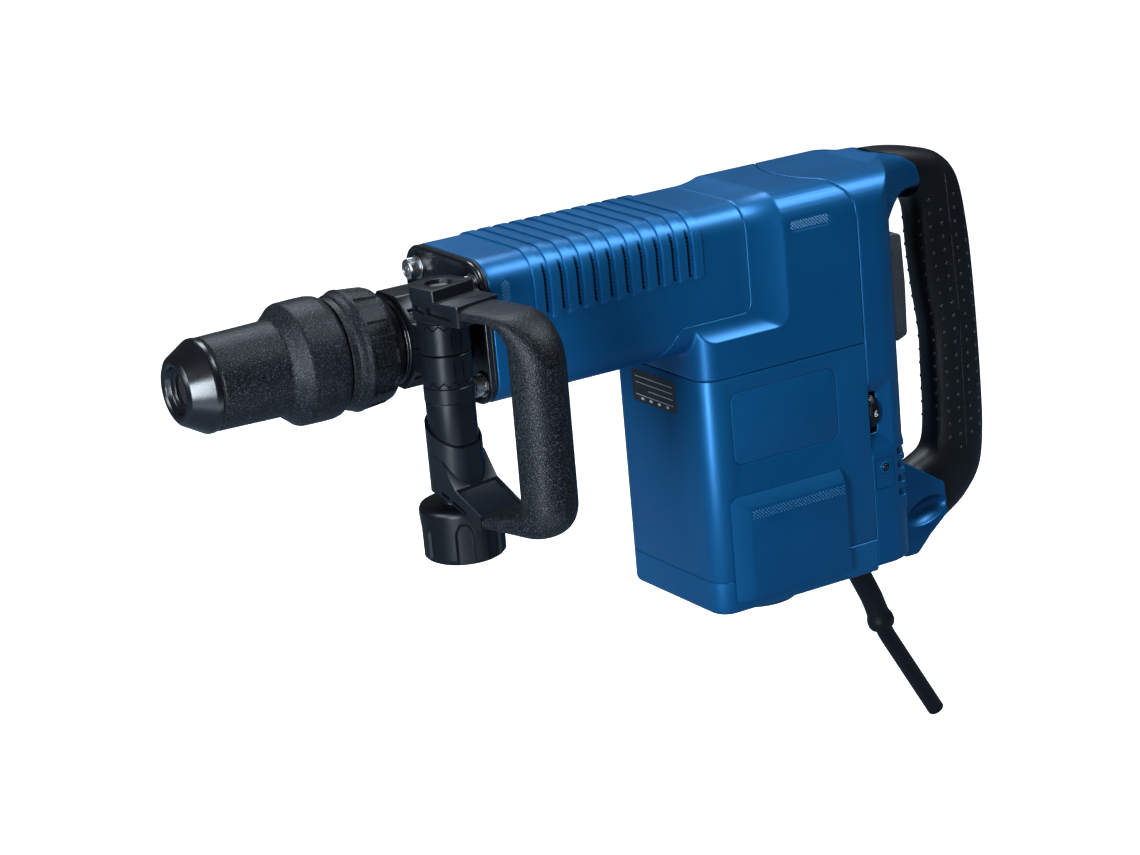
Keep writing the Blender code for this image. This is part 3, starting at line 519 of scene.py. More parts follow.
BLUE = blue_material("blue_casing", (0.0008, 0.094, 0.262), (0.0013, 0.108, 0.290), (0.02, 0.22, 0.48))
# Slightly lighter copy of the blue paint for the pads' hatch: the extra paleness is painted highlight on its
# studs.
LIT_HATCH_BLUE = blue_material("painted_light_blue_hatch", (0.010, 0.125, 0.30), (0.014, 0.145, 0.34), (0.10, 0.32, 0.56))
# Lighter copy of the blue paint for the grille studs: their paleness is painted highlight, the light their
# small faces catch.
LIT_STUD_BLUE = blue_material("painted_light_blue_studs", (0.05, 0.23, 0.46), (0.06, 0.26, 0.50), (0.24, 0.48, 0.70))
BLACK = black_material("black_plastic", (0.0022, 0.0029, 0.0043), 0.26, 0.42, 1500, 0.05, 0.25)
# Grained black with painted sparkle: pale flecks in its colour stand in for light caught by the grain.
GRAINED = black_material("grained_black", (0.0020, 0.0026, 0.0038), 0.34, 0.50, 900, 0.22, 0.20, 0.42)
RUBBER = black_material("black_rubber", (0.0028, 0.0034, 0.0048), 0.36, 0.52, 900, 0.08, 0.35)
GLOSSY = black_material("glossy_rubber", (0.0020, 0.0026, 0.0038), 0.20, 0.32, 1800, 0.02, 0.55)
DOT_RUBBER = black_material("raised_rubber", (0.012, 0.012, 0.013), 0.25, 0.4, 900, 0.05)
GREY = black_material("grey_plastic", (0.050, 0.053, 0.058), 0.5, 0.65, 1100, 0.06)
STEEL = metal_material("machined_steel", (0.60, 0.60, 0.61), 0.26, (1, 12, 12))
DARK_STEEL = metal_material("dark_steel", (0.14, 0.14, 0.15), 0.36, (1, 1, 10))
ALUMINIUM = metal_material("cast_aluminium", (0.58, 0.59, 0.61), 0.45, (1, 1, 1))
COPPER = metal_material("copper_windings", (0.72, 0.32, 0.16), 0.33, (1, 1, 14))
BRONZE = metal_material("sintered_bronze", (0.52, 0.36, 0.16), 0.42, (1, 1, 1))
CARBON = plain_material("pressed_carbon", (0.03, 0.03, 0.032), 0.7)
LENS = plain_material("dark_lens", (0.006, 0.014, 0.028), 0.12, 0.0, 200)
# Near-black sheet colour: painted shade for the insides of slots and gaps.
PAINTED_SHADE = plain_material("painted_shade_inside", (0.004, 0.004, 0.005), 0.85)
LABEL = plain_material("label_film", (0.012, 0.012, 0.013), 0.3, 0.0, 3000)
WHITE_INK = plain_material("white_ink", (0.75, 0.76, 0.76), 0.5, 0.0, 3000)

BLUE_CASING = (BLUE, "casing", "blue_casing")
HANDLE_BLACK = (BLACK, "handle", "black_plastic")
CLAMP_BLACK = (BLACK, "handle_clamp", "black_plastic")
CASING_RUBBER = (RUBBER, "casing", "black_rubber")
SIDES = ((-1, "left"), (1, "right"))


# ---- camera, light and floor ----
SENSOR_WIDTH = 36
FOCAL_LENGTH = 103.02
CAMERA_PLACE = (-927.32, -1732.90, 523.96)
CAMERA_ANGLES = (-30.05, 16.92, -5.20)


def camera():
    """The photographed view: from the front left and a little above, slightly rolled."""
    azimuth, elevation, roll = (radians(angle) for angle in CAMERA_ANGLES)
    back = Vector((sin(azimuth) * cos(elevation), -cos(azimuth) * cos(elevation), sin(elevation)))
    right = Vector((cos(azimuth), sin(azimuth), 0))
    up = back.cross(right)
    cam_x = right * cos(roll) + up * sin(roll)
    cam_y = up * cos(roll) - right * sin(roll)
    data = bpy.data.cameras.new("camera")
    data.sensor_width = SENSOR_WIDTH
    data.lens = FOCAL_LENGTH
    data.clip_start = 0.05
    obj = bpy.data.objects.new("camera", data)
    bpy.context.scene.collection.objects.link(obj)
    turn = Matrix((cam_x, cam_y, back)).transposed().to_4x4()
    obj.matrix_world = Matrix.Translation(to_row(CAMERA_PLACE)) @ turn
    bpy.context.scene.camera = obj


def area_light(name, place, target, size, power):
    data = bpy.data.lights.new(name, "AREA")
    data.shape = "RECTANGLE"
    data.size, data.size_y = size
    data.energy = power
    data.color = LIGHT_TONE
    obj = bpy.data.objects.new(name, data)
    bpy.context.scene.collection.objects.link(obj)
    obj.location = place
    obj.rotation_euler = (Vector(target) - Vector(place)).to_track_quat("-Z", "Y").to_euler()
    obj.visible_camera = False


def paper_material():
    """White paper that stays near white to the edge of the view."""
    n = Nodes("floor_paper")
    shade = n.ramp(n.noise(2.0, 2.0), (0.93, 0.93, 0.93), (0.96, 0.96, 0.96), 0.3, 0.7)
    seen = n.add("ShaderNodeLightPath").outputs["Is Camera Ray"]
    n.feed(n.shader.inputs["Emission Color"], shade)
    n.feed(n.shader.inputs["Emission Strength"], n.maths("MULTIPLY", seen, PAPER_GLOW))
    return n.finish(n.mix(seen, PAPER_BOUNCE, shade), specular=0.0)


PAPER_GLOW = 1.1
PAPER_BOUNCE = (0.16, 0.20, 0.25)
LIGHT_TONE = (0.80, 0.91, 1.0)
FLOOR_HALF = 9
FLOOR_GAP = 0.004
LIGHTS = (("top_soft", (0.70, -0.48, 1.5), (0.0, 0, 0.2), (0.7, 0.45), 20),
          ("top_fill", (0.1, 0.75, 1.5), (0.0, 0, 0.2), (0.8, 0.6), 16),
          ("front_strip", (-1.05, -0.72, 0.28), (-0.05, 0, 0.2), (0.22, 0.62), 15),
          ("front_soft", (-1.3, -0.1, 0.7), (0.0, 0, 0.2), (0.6, 0.6), 13),
          ("low_card", (-0.42, -0.27, 0.012), (-0.42, -0.27, 1), (0.50, 0.16), 0.5))


def studio():
    bpy.context.scene.view_settings.view_transform = "Standard"
    world = bpy.data.worlds.new("studio")
    world.use_nodes = True
    bpy.context.scene.world = world
    sky = world.node_tree.nodes["Background"].inputs
    sky["Color"].default_value = (0.90, 0.95, 1.0, 1)
    sky["Strength"].default_value = 0.07
    for light in LIGHTS:
        area_light(*light)
    bm = bmesh.new()
    bmesh.ops.create_grid(bm, x_segments=1, y_segments=1, size=FLOOR_HALF)
    mesh = bpy.data.meshes.new("floor")
    bm.to_mesh(mesh)
    bm.free()
    floor_object = bpy.data.objects.new("floor", mesh)
    floor_object.location = (0, 0, cad_box[0][2] - FLOOR_GAP)
    bpy.context.scene.collection.objects.link(floor_object)
    mesh.materials.append(paper_material())


# ---- fine surface patterns ----
def smooth_step(value, low, high):
    share = min(1.0, max(0.0, (value - low) / (high - low)))
    return share * share * (3 - 2 * share)


def knurl(middle, across, up, size, pitch, height, inside=None):
    """Rows of small pyramids on a flat patch; across and up are unit vectors, size is (width, height)."""
    across, up, middle = Vector(across), Vector(up), Vector(middle)
    out = across.cross(up).normalized()
    bm = bmesh.new()
    half = pitch * 0.44
    columns, rows = (int(length / pitch * 2) for length in size)
    for row in range(-rows // 2, rows // 2 + 1):
        for column in range(-columns // 2, columns // 2 + 1):
            a, b = column * pitch / 2, row * pitch / 2
            beyond = abs(a) + half > size[0] / 2 or abs(b) + half > size[1] / 2
            if (row + column) % 2 or beyond or (inside and not inside(a, b, half)):
                continue
            centre = middle + across * a + up * b
            foot = [bm.verts.new(centre + across * u * half + up * v * half - out * 0.3)
                    for u, v in ((-1, 0), (0, -1), (1, 0), (0, 1))]
            tip = bm.verts.new(centre + out * height)
            bm.faces.new(foot[::-1])
            for corner in range(4):
                bm.faces.new((foot[corner], foot[(corner + 1) % 4], tip))
    return bm


def in_capsule(width, height):
    """Test for a patch with round ends along its longer side."""
    radius = min(width, height) / 2
    straight = max(width, height) / 2 - radius

    def test(a, b, half):
        along, off = (a, b) if width > height else (b, a)
        beyond = max(0.0, abs(along) - straight)
        return sqrt(beyond * beyond + off * off) + half < radius
    return test


def capsule_outline(a, b, width, height, steps=10):
    radius = min(width, height) / 2 - 0.001
    return box_outline(a - width / 2, a + width / 2, b - height / 2, b + height / 2, radius, steps)


def side_studs(name, side, place, size, pitch, height, material, round_ends=True):
    """Patch of pyramids on a side of the tool, at (x, distance from the middle, z)."""
    x, off, z = place
    studs = knurl((x, side * off, z), (-side, 0, 0), (0, 0, 1), size, pitch, height,
                  in_capsule(*size) if round_ends else None)
    piece(name, studs, material, "casing", "blue_casing", sharp=20)


# ---- hammer tube cover ----
BAND_START = 31.0
BAND_PITCH = 11.7
BAND_WIDTH = 6.6
BANDS = 11
BAND_HEIGHT = 1.25
COVER_GRILLE = (10.7, 28)
CASE_GRILLE = (233.5, 28)


def band_share(x):
    """How far the surface is raised at x: 1 on a band, 0 between bands."""
    along = (x - BAND_START) % BAND_PITCH
    index = floor((x - BAND_START) / BAND_PITCH)
    if index < -1 or index >= BANDS:
        return 0.0
    if along > BAND_PITCH - 0.6:
        return smooth_step(along, BAND_PITCH - 0.5, BAND_PITCH) if index < BANDS - 1 else 0.0
    if index < 0:
        return 0.0
    return 1.0 - smooth_step(along, BAND_WIDTH - 0.5, BAND_WIDTH)


def in_vent(x, z):
    along = (x - BAND_START) % BAND_PITCH
    index = floor((x - BAND_START) / BAND_PITCH)
    return 0 <= index < BANDS - 1 and BAND_WIDTH + 0.45 < along < BAND_WIDTH + 2.55 and 8.0 < z < 37.0


def cover_offset(x, z):
    edge = -0.9 * (1 - smooth_step(x, -0.6, 1.2)) ** 2
    if z < 0:
        return edge
    foot = 5.0 + 0.02 * (x - BAND_START)
    raised = BAND_HEIGHT * band_share(x) * smooth_step(z, foot - 0.4, foot + 0.4)
    return edge + raised - (2.0 if in_vent(x, z) else 0.0)


def outward(outline):
    """Unit normals of a closed outline that runs counter-clockwise."""
    normals = []
    for index in range(len(outline)):
        before = Vector(outline[index - 1])
        after = Vector(outline[(index + 1) % len(outline)])
        along = (after - before).normalized()
        normals.append((along.y, -along.x))
    return normals


def cover_stations():
    places = [0.0, 0.3, 0.6, 1.2, 6.0, 14.0, 22.0]
    for band in range(BANDS):
        start = BAND_START + BAND_PITCH * band
        end = start + BAND_WIDTH
        places += [edge - slope for edge in (start, end) for slope in (0.5, 0.375, 0.25, 0.125, 0.0)]
        places += [start + BAND_WIDTH / 2] + [end + d for d in (0.44, 0.46, 2.54, 2.56)]
    return sorted(places) + [168.0, 180.0, 196.0]


def seam_front(offset):
    """Side outline of everything ahead of the joint between tube cover and gear housing."""
    return rounded(((-20, -70, 0), (CRADLE_NOSE - offset, -70, 0), (CRADLE_NOSE - offset, -44, 6),
                    (124 - offset, -36, 8), (134 - offset, CRADLE_TOP + offset, 6),
                    (TUBE_END - offset, CRADLE_TOP + offset, 6), (TUBE_END - offset, 80, 0), (-20, 80, 0)), 6)


def tube_section(inset, steps=12):
    half = TUBE_HALF - inset
    return box_outline(-half, half, TUBE_BOTTOM + inset, TUBE_TOP - inset, TUBE_RADIUS - inset, steps)


def tube_cover():
    def spacing(y, z):
        if abs(y) < TUBE_HALF - 0.5:
            return 8.0
        return 0.35 if 4 < z < 8 else 1.2 if z > 0 else 8.0
    outline = refined(tube_section(0), spacing)
    normals = outward(outline)
    loops = []
    for x in cover_stations():
        loop = []
        for (y, z), (out_y, out_z) in zip(outline, normals):
            reach = cover_offset(x, z)
            loop.append((x, y + out_y * reach, z + out_z * reach))
        loops.append(loop)
    inner = [[(x, y - out_y * WALL, z - out_z * WALL) for (y, z), (out_y, out_z) in zip(outline, normals)]
             for x in (196.0, 0.0)]
    cover = mesh_object("tube_cover_shell", loft(loops + inner, closed=True))
    keep(cover, prism("y", seam_front(GAP / 2), -FAR, FAR))
    finished(cover, *BLUE_CASING, "hammer_tube_cover", sharp=50)
    vent_details(outline, normals)
    for side, word in SIDES:
        name = "cover_grille_" + word
        outline = capsule_outline(*COVER_GRILLE, 7.6, 16.5)
        base = prism("y", outline, side * (TUBE_HALF - 0.2), side * (TUBE_HALF + 0.15))
        piece(name + "_base", base, *BLUE_CASING)
        x, z = COVER_GRILLE
        # Grille studs in the lighter copy of the blue, a painted highlight.
        side_studs(name, side, (x, TUBE_HALF + 0.1, z), (7.4, 16.3), 2.1, 0.75, LIT_STUD_BLUE)


def vent_details(outline, normals):
    """Near-black bottoms of painted shade in the slots behind the bands, and small teeth."""
    shade_sheets, teeth = [], []
    for side in (-1, 1):
        line = [(y, z, n) for (y, z), n in zip(outline, normals) if y * side > 30 and 8.3 < z < 36.7]
        line.sort(key=lambda entry: entry[1])
        for band in range(BANDS - 1):
            start = BAND_START + BAND_PITCH * band + BAND_WIDTH + 0.5
            loops = []
            for y, z, (out_y, out_z) in line:
                loops.append([(start + dx, y + out_y * dn, z + out_z * dn)
                              for dx, dn in ((0, -1.9), (2.0, -1.9), (2.0, -1.2), (0, -1.2))])
            shade_sheets.append(loft(loops))
            travelled, last = 0.0, line[0]
            for y, z, (out_y, out_z) in line:
                travelled += sqrt((y - last[0]) ** 2 + (z - last[1]) ** 2)
                last = (y, z)
                if travelled < 2.0:
                    continue
                travelled = 0.0
                along = Vector((-out_z, out_y))
                corners = []
                for dn in (-1.3, -0.05):
                    corners.append([(start + dx, y + out_y * dn + along.x * da, z + out_z * dn + along.y * da)
                                    for dx, da in ((1.15, 0), (2.1, -0.55), (2.1, 0.55))])
                teeth.append(loft(corners))
    # The slot bottoms carry painted shade.
    finished(joined("vent_painted_shade", shade_sheets), PAINTED_SHADE, "casing", "blue_casing")
    finished(joined("vent_teeth", teeth), *BLUE_CASING)


# ---- gear housing ----
def upper_case():
    """Roof and shoulders of the gear housing, swelling out from the section of the tube cover."""
    layers = []
    for step in range(13):
        share = step / 12
        swell = share * share
        x = TUBE_END - 2 + (SHOULDER_END - TUBE_END + 2) * share
        half = TUBE_HALF + (CASE_HALF - TUBE_HALF) * swell
        high = TUBE_TOP + (CASE_TOP - TUBE_TOP) * swell
        layers.append((x, arched(half, GEAR_SEAM, high, TUBE_RADIUS + 3 * share, 10)))
    layers.append((CASE_REAR + 30, arched(CASE_HALF, GEAR_SEAM, CASE_TOP, CASE_TOP_RADIUS, 10)))
    return stack("x", layers)


def case_plan(inset, rear):
    half = CASE_HALF - inset
    front = CASE_FRONT + inset
    radius = CASE_CORNER - inset
    return rounded(((front, -half, radius), (rear, -half, 0), (rear, half, 0), (front, half, radius)), 10)


def rear_seam(offset, forward):
    """Plan outline ahead of (or behind) the curved joint over the top of the rear shell."""
    edge = []
    for step in range(-12, 13):
        y = 60.0 * step / 12
        edge.append((246.0 + 24.5 * min(1, (y / CASE_HALF) ** 2) + offset, y))
    end = 100.0 if forward else 420.0
    return [(end, -60)] + edge + [(end, 60)]


def cove(side, steps=12):
    """Hollow sweeping out from the tube cover to the full width of the case, behind and below the tube."""
    loops = []
    for step in range(steps + 2):
        share = step / steps
        y = TUBE_HALF + (CASE_HALF - TUBE_HALF) * share * share
        x = TUBE_END + (SHOULDER_END - TUBE_END) * share
        z = CRADLE_TOP + (SHOULDER_LOW - CRADLE_TOP) * share
        outline = rounded(((60, z, 0), (x, z, 2 + 8 * share), (x, 20, 0), (60, 20, 0)), 8)
        loops.append([(a, side * y, b) for a, b in outline])
    return loft([[(a, side * (TUBE_HALF - 0.01), b) for a, _, b in loops[0]]] + loops[1:])


def gear_case():
    case = mesh_object("gear_case", upper_case())
    front = mesh_object("front", prism("z", case_plan(0, CASE_REAR + 9), GEAR_SEAM, 0))
    cut(front, cove(-1), cove(1))
    extend(case, front, prism("x", tube_section(0), CRADLE_NOSE, 192))
    hollow = prism("z", case_plan(WALL, 290), GEAR_SEAM + 8.5, CRADLE_TOP - 14)
    roof = arched(CASE_HALF - WALL, -55, CASE_TOP - WALL, CASE_TOP_RADIUS - WALL)
    cut(case, prism("y", seam_front(-GAP / 2), -FAR, FAR), prism("x", tube_section(WALL), 100, 215), hollow,
        prism("x", roof, SHOULDER_END, 320), prism("z", rear_seam(-GAP / 2, False), 25, 90),
        block((CASE_REAR - GAP / 2, -90, -90), (350, 90, 25.5)),
        rod("z", -70, -40, BEARING_HOLE, (MOTOR_X, 0)), rod("z", -70, -40, CRANK_HOLE, (CRANK_X, 0)))
    for side, _ in SIDES:
        groove = capsule_outline(*CASE_GRILLE, 33.5, 8.6)
        cut(case, prism("y", groove, side * (CASE_HALF - 0.9), side * (CASE_HALF + 3)))
    soften(case, 0.9, 3)
    finished(case, *BLUE_CASING, "gear_housing", sharp=0)
    x, z = CASE_GRILLE
    for side, word in SIDES:
        # Grille studs in the lighter copy of the blue, a painted highlight.
        side_studs("case_grille_" + word, side, (x, CASE_HALF - 0.75, z), (31.5, 7.0), 2.2, 0.9, LIT_STUD_BLUE)


# ---- motor housing, end cap and side pads ----
def badge_outline(inset):
    return box_outline(162 + inset, 245.5 - inset, -120.5 + inset, -71 - inset, 7 - inset, 6)


def motor_case():
    plan = case_plan(0, CASE_REAR - GAP / 2)
    shell = mesh_object("motor_case", prism("z", plan, MOTOR_SEAM + GAP, GEAR_SEAM - GAP))
    cut(shell, prism("z", case_plan(WALL, 290), MOTOR_SEAM - 9, GEAR_SEAM + 9))
    for side in (-1, 1):
        low, high = sorted((side * (CASE_HALF - 0.6), side * (CASE_HALF + 2)))
        frame_ring = mesh_object("ring", prism("y", badge_outline(0), low, high))
        cut(frame_ring, prism("y", badge_outline(0.9), low - 1, high + 1))
        cut(shell, frame_ring)
    bevelled(shell, 0.55, 2, 60)
    finished(shell, *BLUE_CASING, "motor_housing")
    label = prism("x", box_outline(-21, 31, -88, -66, 2.5, 4), CASE_FRONT - 0.12, CASE_FRONT + 0.2)
    piece("rating_label", label, LABEL, "casing", "blue_casing")
    rules = []
    for row, (start, end) in enumerate(((-17, 27), (-17, 27), (-17, 12), (-17, 27))):
        z = -70.5 - 4.2 * row
        rules.append(block((CASE_FRONT - 0.2, start, z - 0.35), (CASE_FRONT - 0.1, end, z)))
    for column in (-12, -2, 8, 18):
        rules.append(block((CASE_FRONT - 0.2, column, -86.2), (CASE_FRONT - 0.1, column + 3, -84.6)))
    finished(joined("label_rules", rules), WHITE_INK, "casing", "blue_casing")


CAP_SCREWS = ((156, -44), (156, 44), (258, -44), (258, 44))


def end_cap():
    layers = [(z, case_plan(inset, CASE_REAR - GAP / 2))
              for z, inset in ((MOTOR_SEAM, 0.5), (MOTOR_SEAM - 0.5, 0.0), (CAP_BOTTOM + 4.0, 0.0),
                               (CAP_BOTTOM + 2.3, 0.4), (CAP_BOTTOM + 1.0, 1.3), (CAP_BOTTOM + 0.3, 2.6),
                               (CAP_BOTTOM, 4.2))]
    cap = mesh_object("motor_cap", stack("z", layers))
    boss = soft_profile(((BOSS_BOTTOM, 0), (BOSS_BOTTOM, BOSS_RADIUS - 1.4), (BOSS_BOTTOM + 2, BOSS_RADIUS),
                         (CAP_BOTTOM - 2, BOSS_RADIUS), (CAP_BOTTOM + 1, BOSS_RADIUS + 3),
                         (CAP_BOTTOM + 1, 0)), 0.8)
    cut(cap, prism("z", case_plan(WALL, 290), CAP_BOTTOM + WALL, -190))
    extend(cap, turned("z", boss, (MOTOR_X, 0)))
    cut(cap, rod("z", BOSS_BOTTOM + 4.5, -210, 11.5, (MOTOR_X, 0)))
    for place in CAP_SCREWS:
        cut(cap, rod("z", CAP_BOTTOM - 2, CAP_BOTTOM + 2.0, 5.2, place, 32))
    finished(cap, *BLUE_CASING, "motor_end_cap")
    corners = ((0.1, 0), (0.4, 4.2), (2.2, 4.4), (2.2, 0))
    head = soft_profile([(CAP_BOTTOM + rise, reach) for rise, reach in corners], 0.4)
    screws = [star_drilled(turned("z", head, place, 32), *place, CAP_BOTTOM) for place in CAP_SCREWS]
    finished(joined("cap_screws", screws), STEEL, "casing", "steel")


def star_drilled(bm, x, y, low):
    """Sink a six-lobed drive into the underside of a screw head."""
    head = mesh_object("head", bm)
    star = [circle(2.0 if step % 2 else 1.45, x, y, 12)[step] for step in range(12)]
    cut(head, prism("z", star, low - 2, low + 1.3))
    result = bmesh.new()
    result.from_mesh(head.data)
    for vert in result.verts:
        vert.co = (vert.co - ROW_ORIGIN) / MM
    bpy.data.objects.remove(head, do_unlink=True)
    return result


def side_pads():
    for side, word in SIDES:
        base = side * (CASE_HALF + GAP)
        face = side * -in_tool("side_pad_left")[0].y
        outline = rounded(((156, -212, 3), (245, -212, 3), (245, -141, 3), (156, -141, 6)), 6)
        mid = rounded(((167.6, -211.6, 3), (244.8, -211.6, 3), (244.8, -148.6, 3), (167.6, -148.6, 4)), 6)
        top = rounded(((169.0, -210.6, 3), (244.0, -210.6, 3), (244.0, -149.4, 3), (169.0, -149.4, 4)), 6)
        layers = ((base, outline), (base + side * 0.8, outline), (face - side * 0.4, mid), (face, top))
        piece("pad_" + word, stack("y", layers), *BLUE_CASING, "side_pad_" + word, sharp=50)
        # Pad hatch in the slightly lighter copy of the blue, a painted highlight.
        side_studs("pad_grip_" + word, side, (206.5, abs(face), -154.0), (75.0, 8.9), 2.4, 0.7, LIT_HATCH_BLUE,
                   round_ends=False)


# ---- tool holder ----
def dust_cap():
    profile = soft_profile(((-186.3, 9.6), (-188.2, 9.6), (-189.4, 11.6), (-188.6, 13.6), (-192.2, 15.0),
                            (-193.3, 16.4), (-193.3, 18.9), (-191.7, 21.4), (-178.8, 28.9), (-177.6, 29.35),
                            (-174.2, 29.4), (-174.2, 17.3), (-186.3, 17.3)), 1.1, 4)
    piece("dust_cap", turned("x", profile, steps=128), GLOSSY, "spindle", "black_rubber", "dust_cap")
    # Near-black ring in the joint between cap and sleeve: painted shade of the gap.
    lip = soft_profile(((-174.1, 24), (-174.1, 29.0), (-173.5, 29.0), (-173.5, 24)), 0.2)
    piece("cap_joint_painted_shade", turned("x", lip, steps=128), PAINTED_SHADE, "spindle", "steel")


def locking_sleeve():
    profile = soft_profile(((-173.2, 26), (-173.2, 28.3), (-172.2, 29.0), (-150, 29.45), (-128.6, 29.9),
                            (-127.4, 30.5), (-118.6, 37.8), (-117.0, 38.3), (-106, 38.6), (-98, 38.5),
                            (-94.2, 37.7), (-92.2, 36.4), (-92.0, 35.4), (-98, 35.3), (-98, 27),
                            (-130, 26)), 1.2, 4)
    piece("locking_sleeve", turned("x", profile, steps=144), GRAINED, "sleeve", "black_plastic",
          "locking_sleeve")


RING_PANELS = 12


def panel_relief(place, radius, angle):
    """Shallow pockets round the setting ring, between raised grips."""
    if not -76.6 < place < -58.4 or radius < 30:
        return 0.0
    turn = (angle / (2 * pi) * RING_PANELS + 0.28) % 1.0
    pocket = smooth_step(turn, 0.02, 0.06) * (1 - smooth_step(turn, 0.50, 0.56))
    return -1.5 * pocket * smooth_step(place, -76.4, -75.8) * (1 - smooth_step(place, -61.5, -58.8))


def setting_ring():
    outer = [(-90, 31.0), (-90, 34.0), (-89.4, 34.6), (-85.6, 34.9), (-84.8, 35.6), (-83.4, 36.4),
             (-81.6, 36.6), (-80.6, 37.0), (-79.0, 38.1), (-78.3, 38.35), (-77.7, 38.3), (-77.4, 37.9),
             (-76.9, 37.9)]
    outer += [(-76.5 + 0.2 * step, 37.85 - 0.008 * step) for step in range(5)]
    outer += [(-75.0 + 1.4 * step, 37.75 - 0.13 * step) for step in range(10)]
    outer += [(-61.0 + 0.5 * step, 36.4 - 0.22 * step) for step in range(6)]
    outer += [(-57.4, 34.0), (-54.6, 31.3), (-51.6, 28.2), (-50.6, 27.0), (-50.6, 20.6), (-58, 20.6),
              (-58, 31.0)]
    ring = turned("x", outer, steps=360, relief=panel_relief)
    piece("setting_ring", ring, GRAINED, "ring", "black_plastic", "setting_ring", sharp=30)


def neck_bellows():
    """Ribbed rubber neck between the setting ring and the clamp."""
    ridges = [(-50.2, 20.3)]
    for start in (-50.2, -48.2):
        ridge = ((0.1, 25.6), (0.6, 27.3), (1.1, 27.6), (1.6, 27.2), (1.9, 25.4))
        ridges += [(start + along, reach) for along, reach in ridge]
    ridges += [(-46.2, 20.3)]
    neck = turned("x", ridges, steps=128)
    piece("neck_bellows", neck, GLOSSY, "casing", "black_rubber", "neck_bellows", sharp=60)


# ---- flange ----
SCREW_Y = 35.0
SCREW_ROWS = ((-31.5, "bottom"), (32.0, "top"))
SCREWS = [(side * SCREW_Y, z, "flange_screw_" + level + "_" + word)
          for side, word in SIDES for z, level in SCREW_ROWS]
PLATE_LAYERS = ((-2.4, 1.0), (-2.4, 0.5), (-2.9, 0.1), (-4.6, 0.0), (-5.5, 0.35), (-6.0, 1.1), (-6.1, 1.8),
                (-5.9, 2.5), (-5.2, 3.1), (-4.0, 3.6), (-3.5, 4.6), (-3.4, 6.5))
SEAL_LAYERS = ((-2.2, 5), (-2.2, 0.5), (-1.9, 0.25), (-0.7, 0.25), (-0.4, 0.5), (-0.4, 5))


def flange():
    """Rimmed plate with its neck and four screw bosses, and the gasket behind it."""
    body = mesh_object("flange_plate", stack("x", [(x, tube_section(inset)) for x, inset in PLATE_LAYERS]))
    neck = soft_profile(((-46, 0), (-46, 24.9), (-9, 25), (-3.0, 29), (-3.0, 0)), 3, 4)
    boss = soft_profile(((-4.7, 0), (-4.7, 7.9), (-3.9, 8.2), (-3.4, 9.4), (-2.8, 9.4), (-2.8, 0)), 0.4)
    extend(body, turned("x", neck, steps=128), *[turned("x", boss, (y, z), 48) for y, z, _ in SCREWS])
    cut(body, rod("x", -60, 0, 20.6, steps=96), *[rod("x", -8, 0, 4.2, (y, z), 32) for y, z, _ in SCREWS])
    finished(body, GLOSSY, "casing", "black_plastic", "front_flange", sharp=42)
    seal = stack("x", [(x, tube_section(inset)) for x, inset in SEAL_LAYERS], closed=True)
    piece("flange_gasket", seal, *CASING_RUBBER, "flange_gasket")
    for y, z, name in SCREWS:
        flange_screw(name, y, z)


def flange_screw(name, y, z):
    """Socket screw with a knurled head and a hexagon recess."""
    def grooves(place, radius, angle):
        return -0.28 * (0.5 + 0.5 * cos(36 * angle)) if radius > 6.2 and -11.3 < place < -6.0 else 0.0
    profile = [(-9.2, 0.0), (-9.2, 3.5), (-12.2, 3.9), (-12.4, 4.2), (-12.4, 5.6), (-12.1, 6.1),
               (-11.5, 6.45), (-11.2, 6.5), (-11.0, 6.5), (-6.2, 6.5), (-6.0, 6.5), (-5.4, 6.45), (-4.9, 6.1),
               (-4.9, 0.0)]
    screw = mesh_object(name, turned("x", profile, (y, z), 144, grooves))
    cut(screw, prism("x", circle(3.9, y, z, 6), -13, -9.4))
    washer = soft_profile(((-4.9, 4.3), (-4.9, 7.6), (-4.65, 7.8), (-4.65, 4.3)), 0.1)
    extend(screw, turned("x", washer, (y, z), 64))
    finished(screw, STEEL, "casing", "steel", name, sharp=32)


# ---- side handle ----
COLUMN_X = -34.3
COLUMN_Y = -47.4
COLUMN_RADIUS = 15.7
HANDLE_TURN = radians(12)
GRIP_HALF = 17.2
CUP_RADIUS = 17.2
COLUMN = (COLUMN_X, COLUMN_Y)
DRUM_BORE = 5.6
TEETH = 14
TOOTH = 3.0
WASHER = 2.2
CLAMP_TOP = 17.75    # middle of the serrations over the clamp
CLAMP_LOW = -18.45   # middle of the serrations under it


def handle_point(across, reach, z):
    """Point given across the handle, outward from its column, and up."""
    out = Vector((sin(HANDLE_TURN), -cos(HANDLE_TURN)))
    side = Vector((cos(HANDLE_TURN), sin(HANDLE_TURN)))
    flat = Vector(COLUMN) + out * reach + side * across
    return (flat.x, flat.y, z)


def handle_prism(outline, low, high):
    return loft([[handle_point(a, b, z) for a, b in outline] for z in (low, high)])


def handle_slab(outline, low, high):
    """Solid from a (reach, z) outline between two places across the handle."""
    return loft([[handle_point(across, reach, z) for reach, z in outline] for across in (low, high)])


def zigzag(angle):
    """Height of the serration between drums at an angle round the column, from -1 to 1."""
    turn = (angle / (2 * pi) * TEETH) % 1.0
    return 4 * abs(turn - 0.5) - 1


def drum(name, low, high, low_teeth=False, high_teeth=False, steps=TEETH * 12):
    """Column drum whose ends may carry serrations."""
    chamfer = 0.35
    inner, outer = DRUM_BORE, COLUMN_RADIUS
    loops = []
    for radius, place, toothed in ((inner, low, low_teeth), (outer - chamfer, low, low_teeth),
                                   (outer, low + chamfer, low_teeth), (outer, high - chamfer, high_teeth),
                                   (outer - chamfer, high, high_teeth), (inner, high, high_teeth)):
        loops.append([(a, b, place + (TOOTH / 2 * zigzag(2 * pi * step / steps) if toothed else 0.0))
                      for step, (a, b) in enumerate(circle(radius, *COLUMN, steps))])
    return mesh_object(name, loft(loops, closed=True))


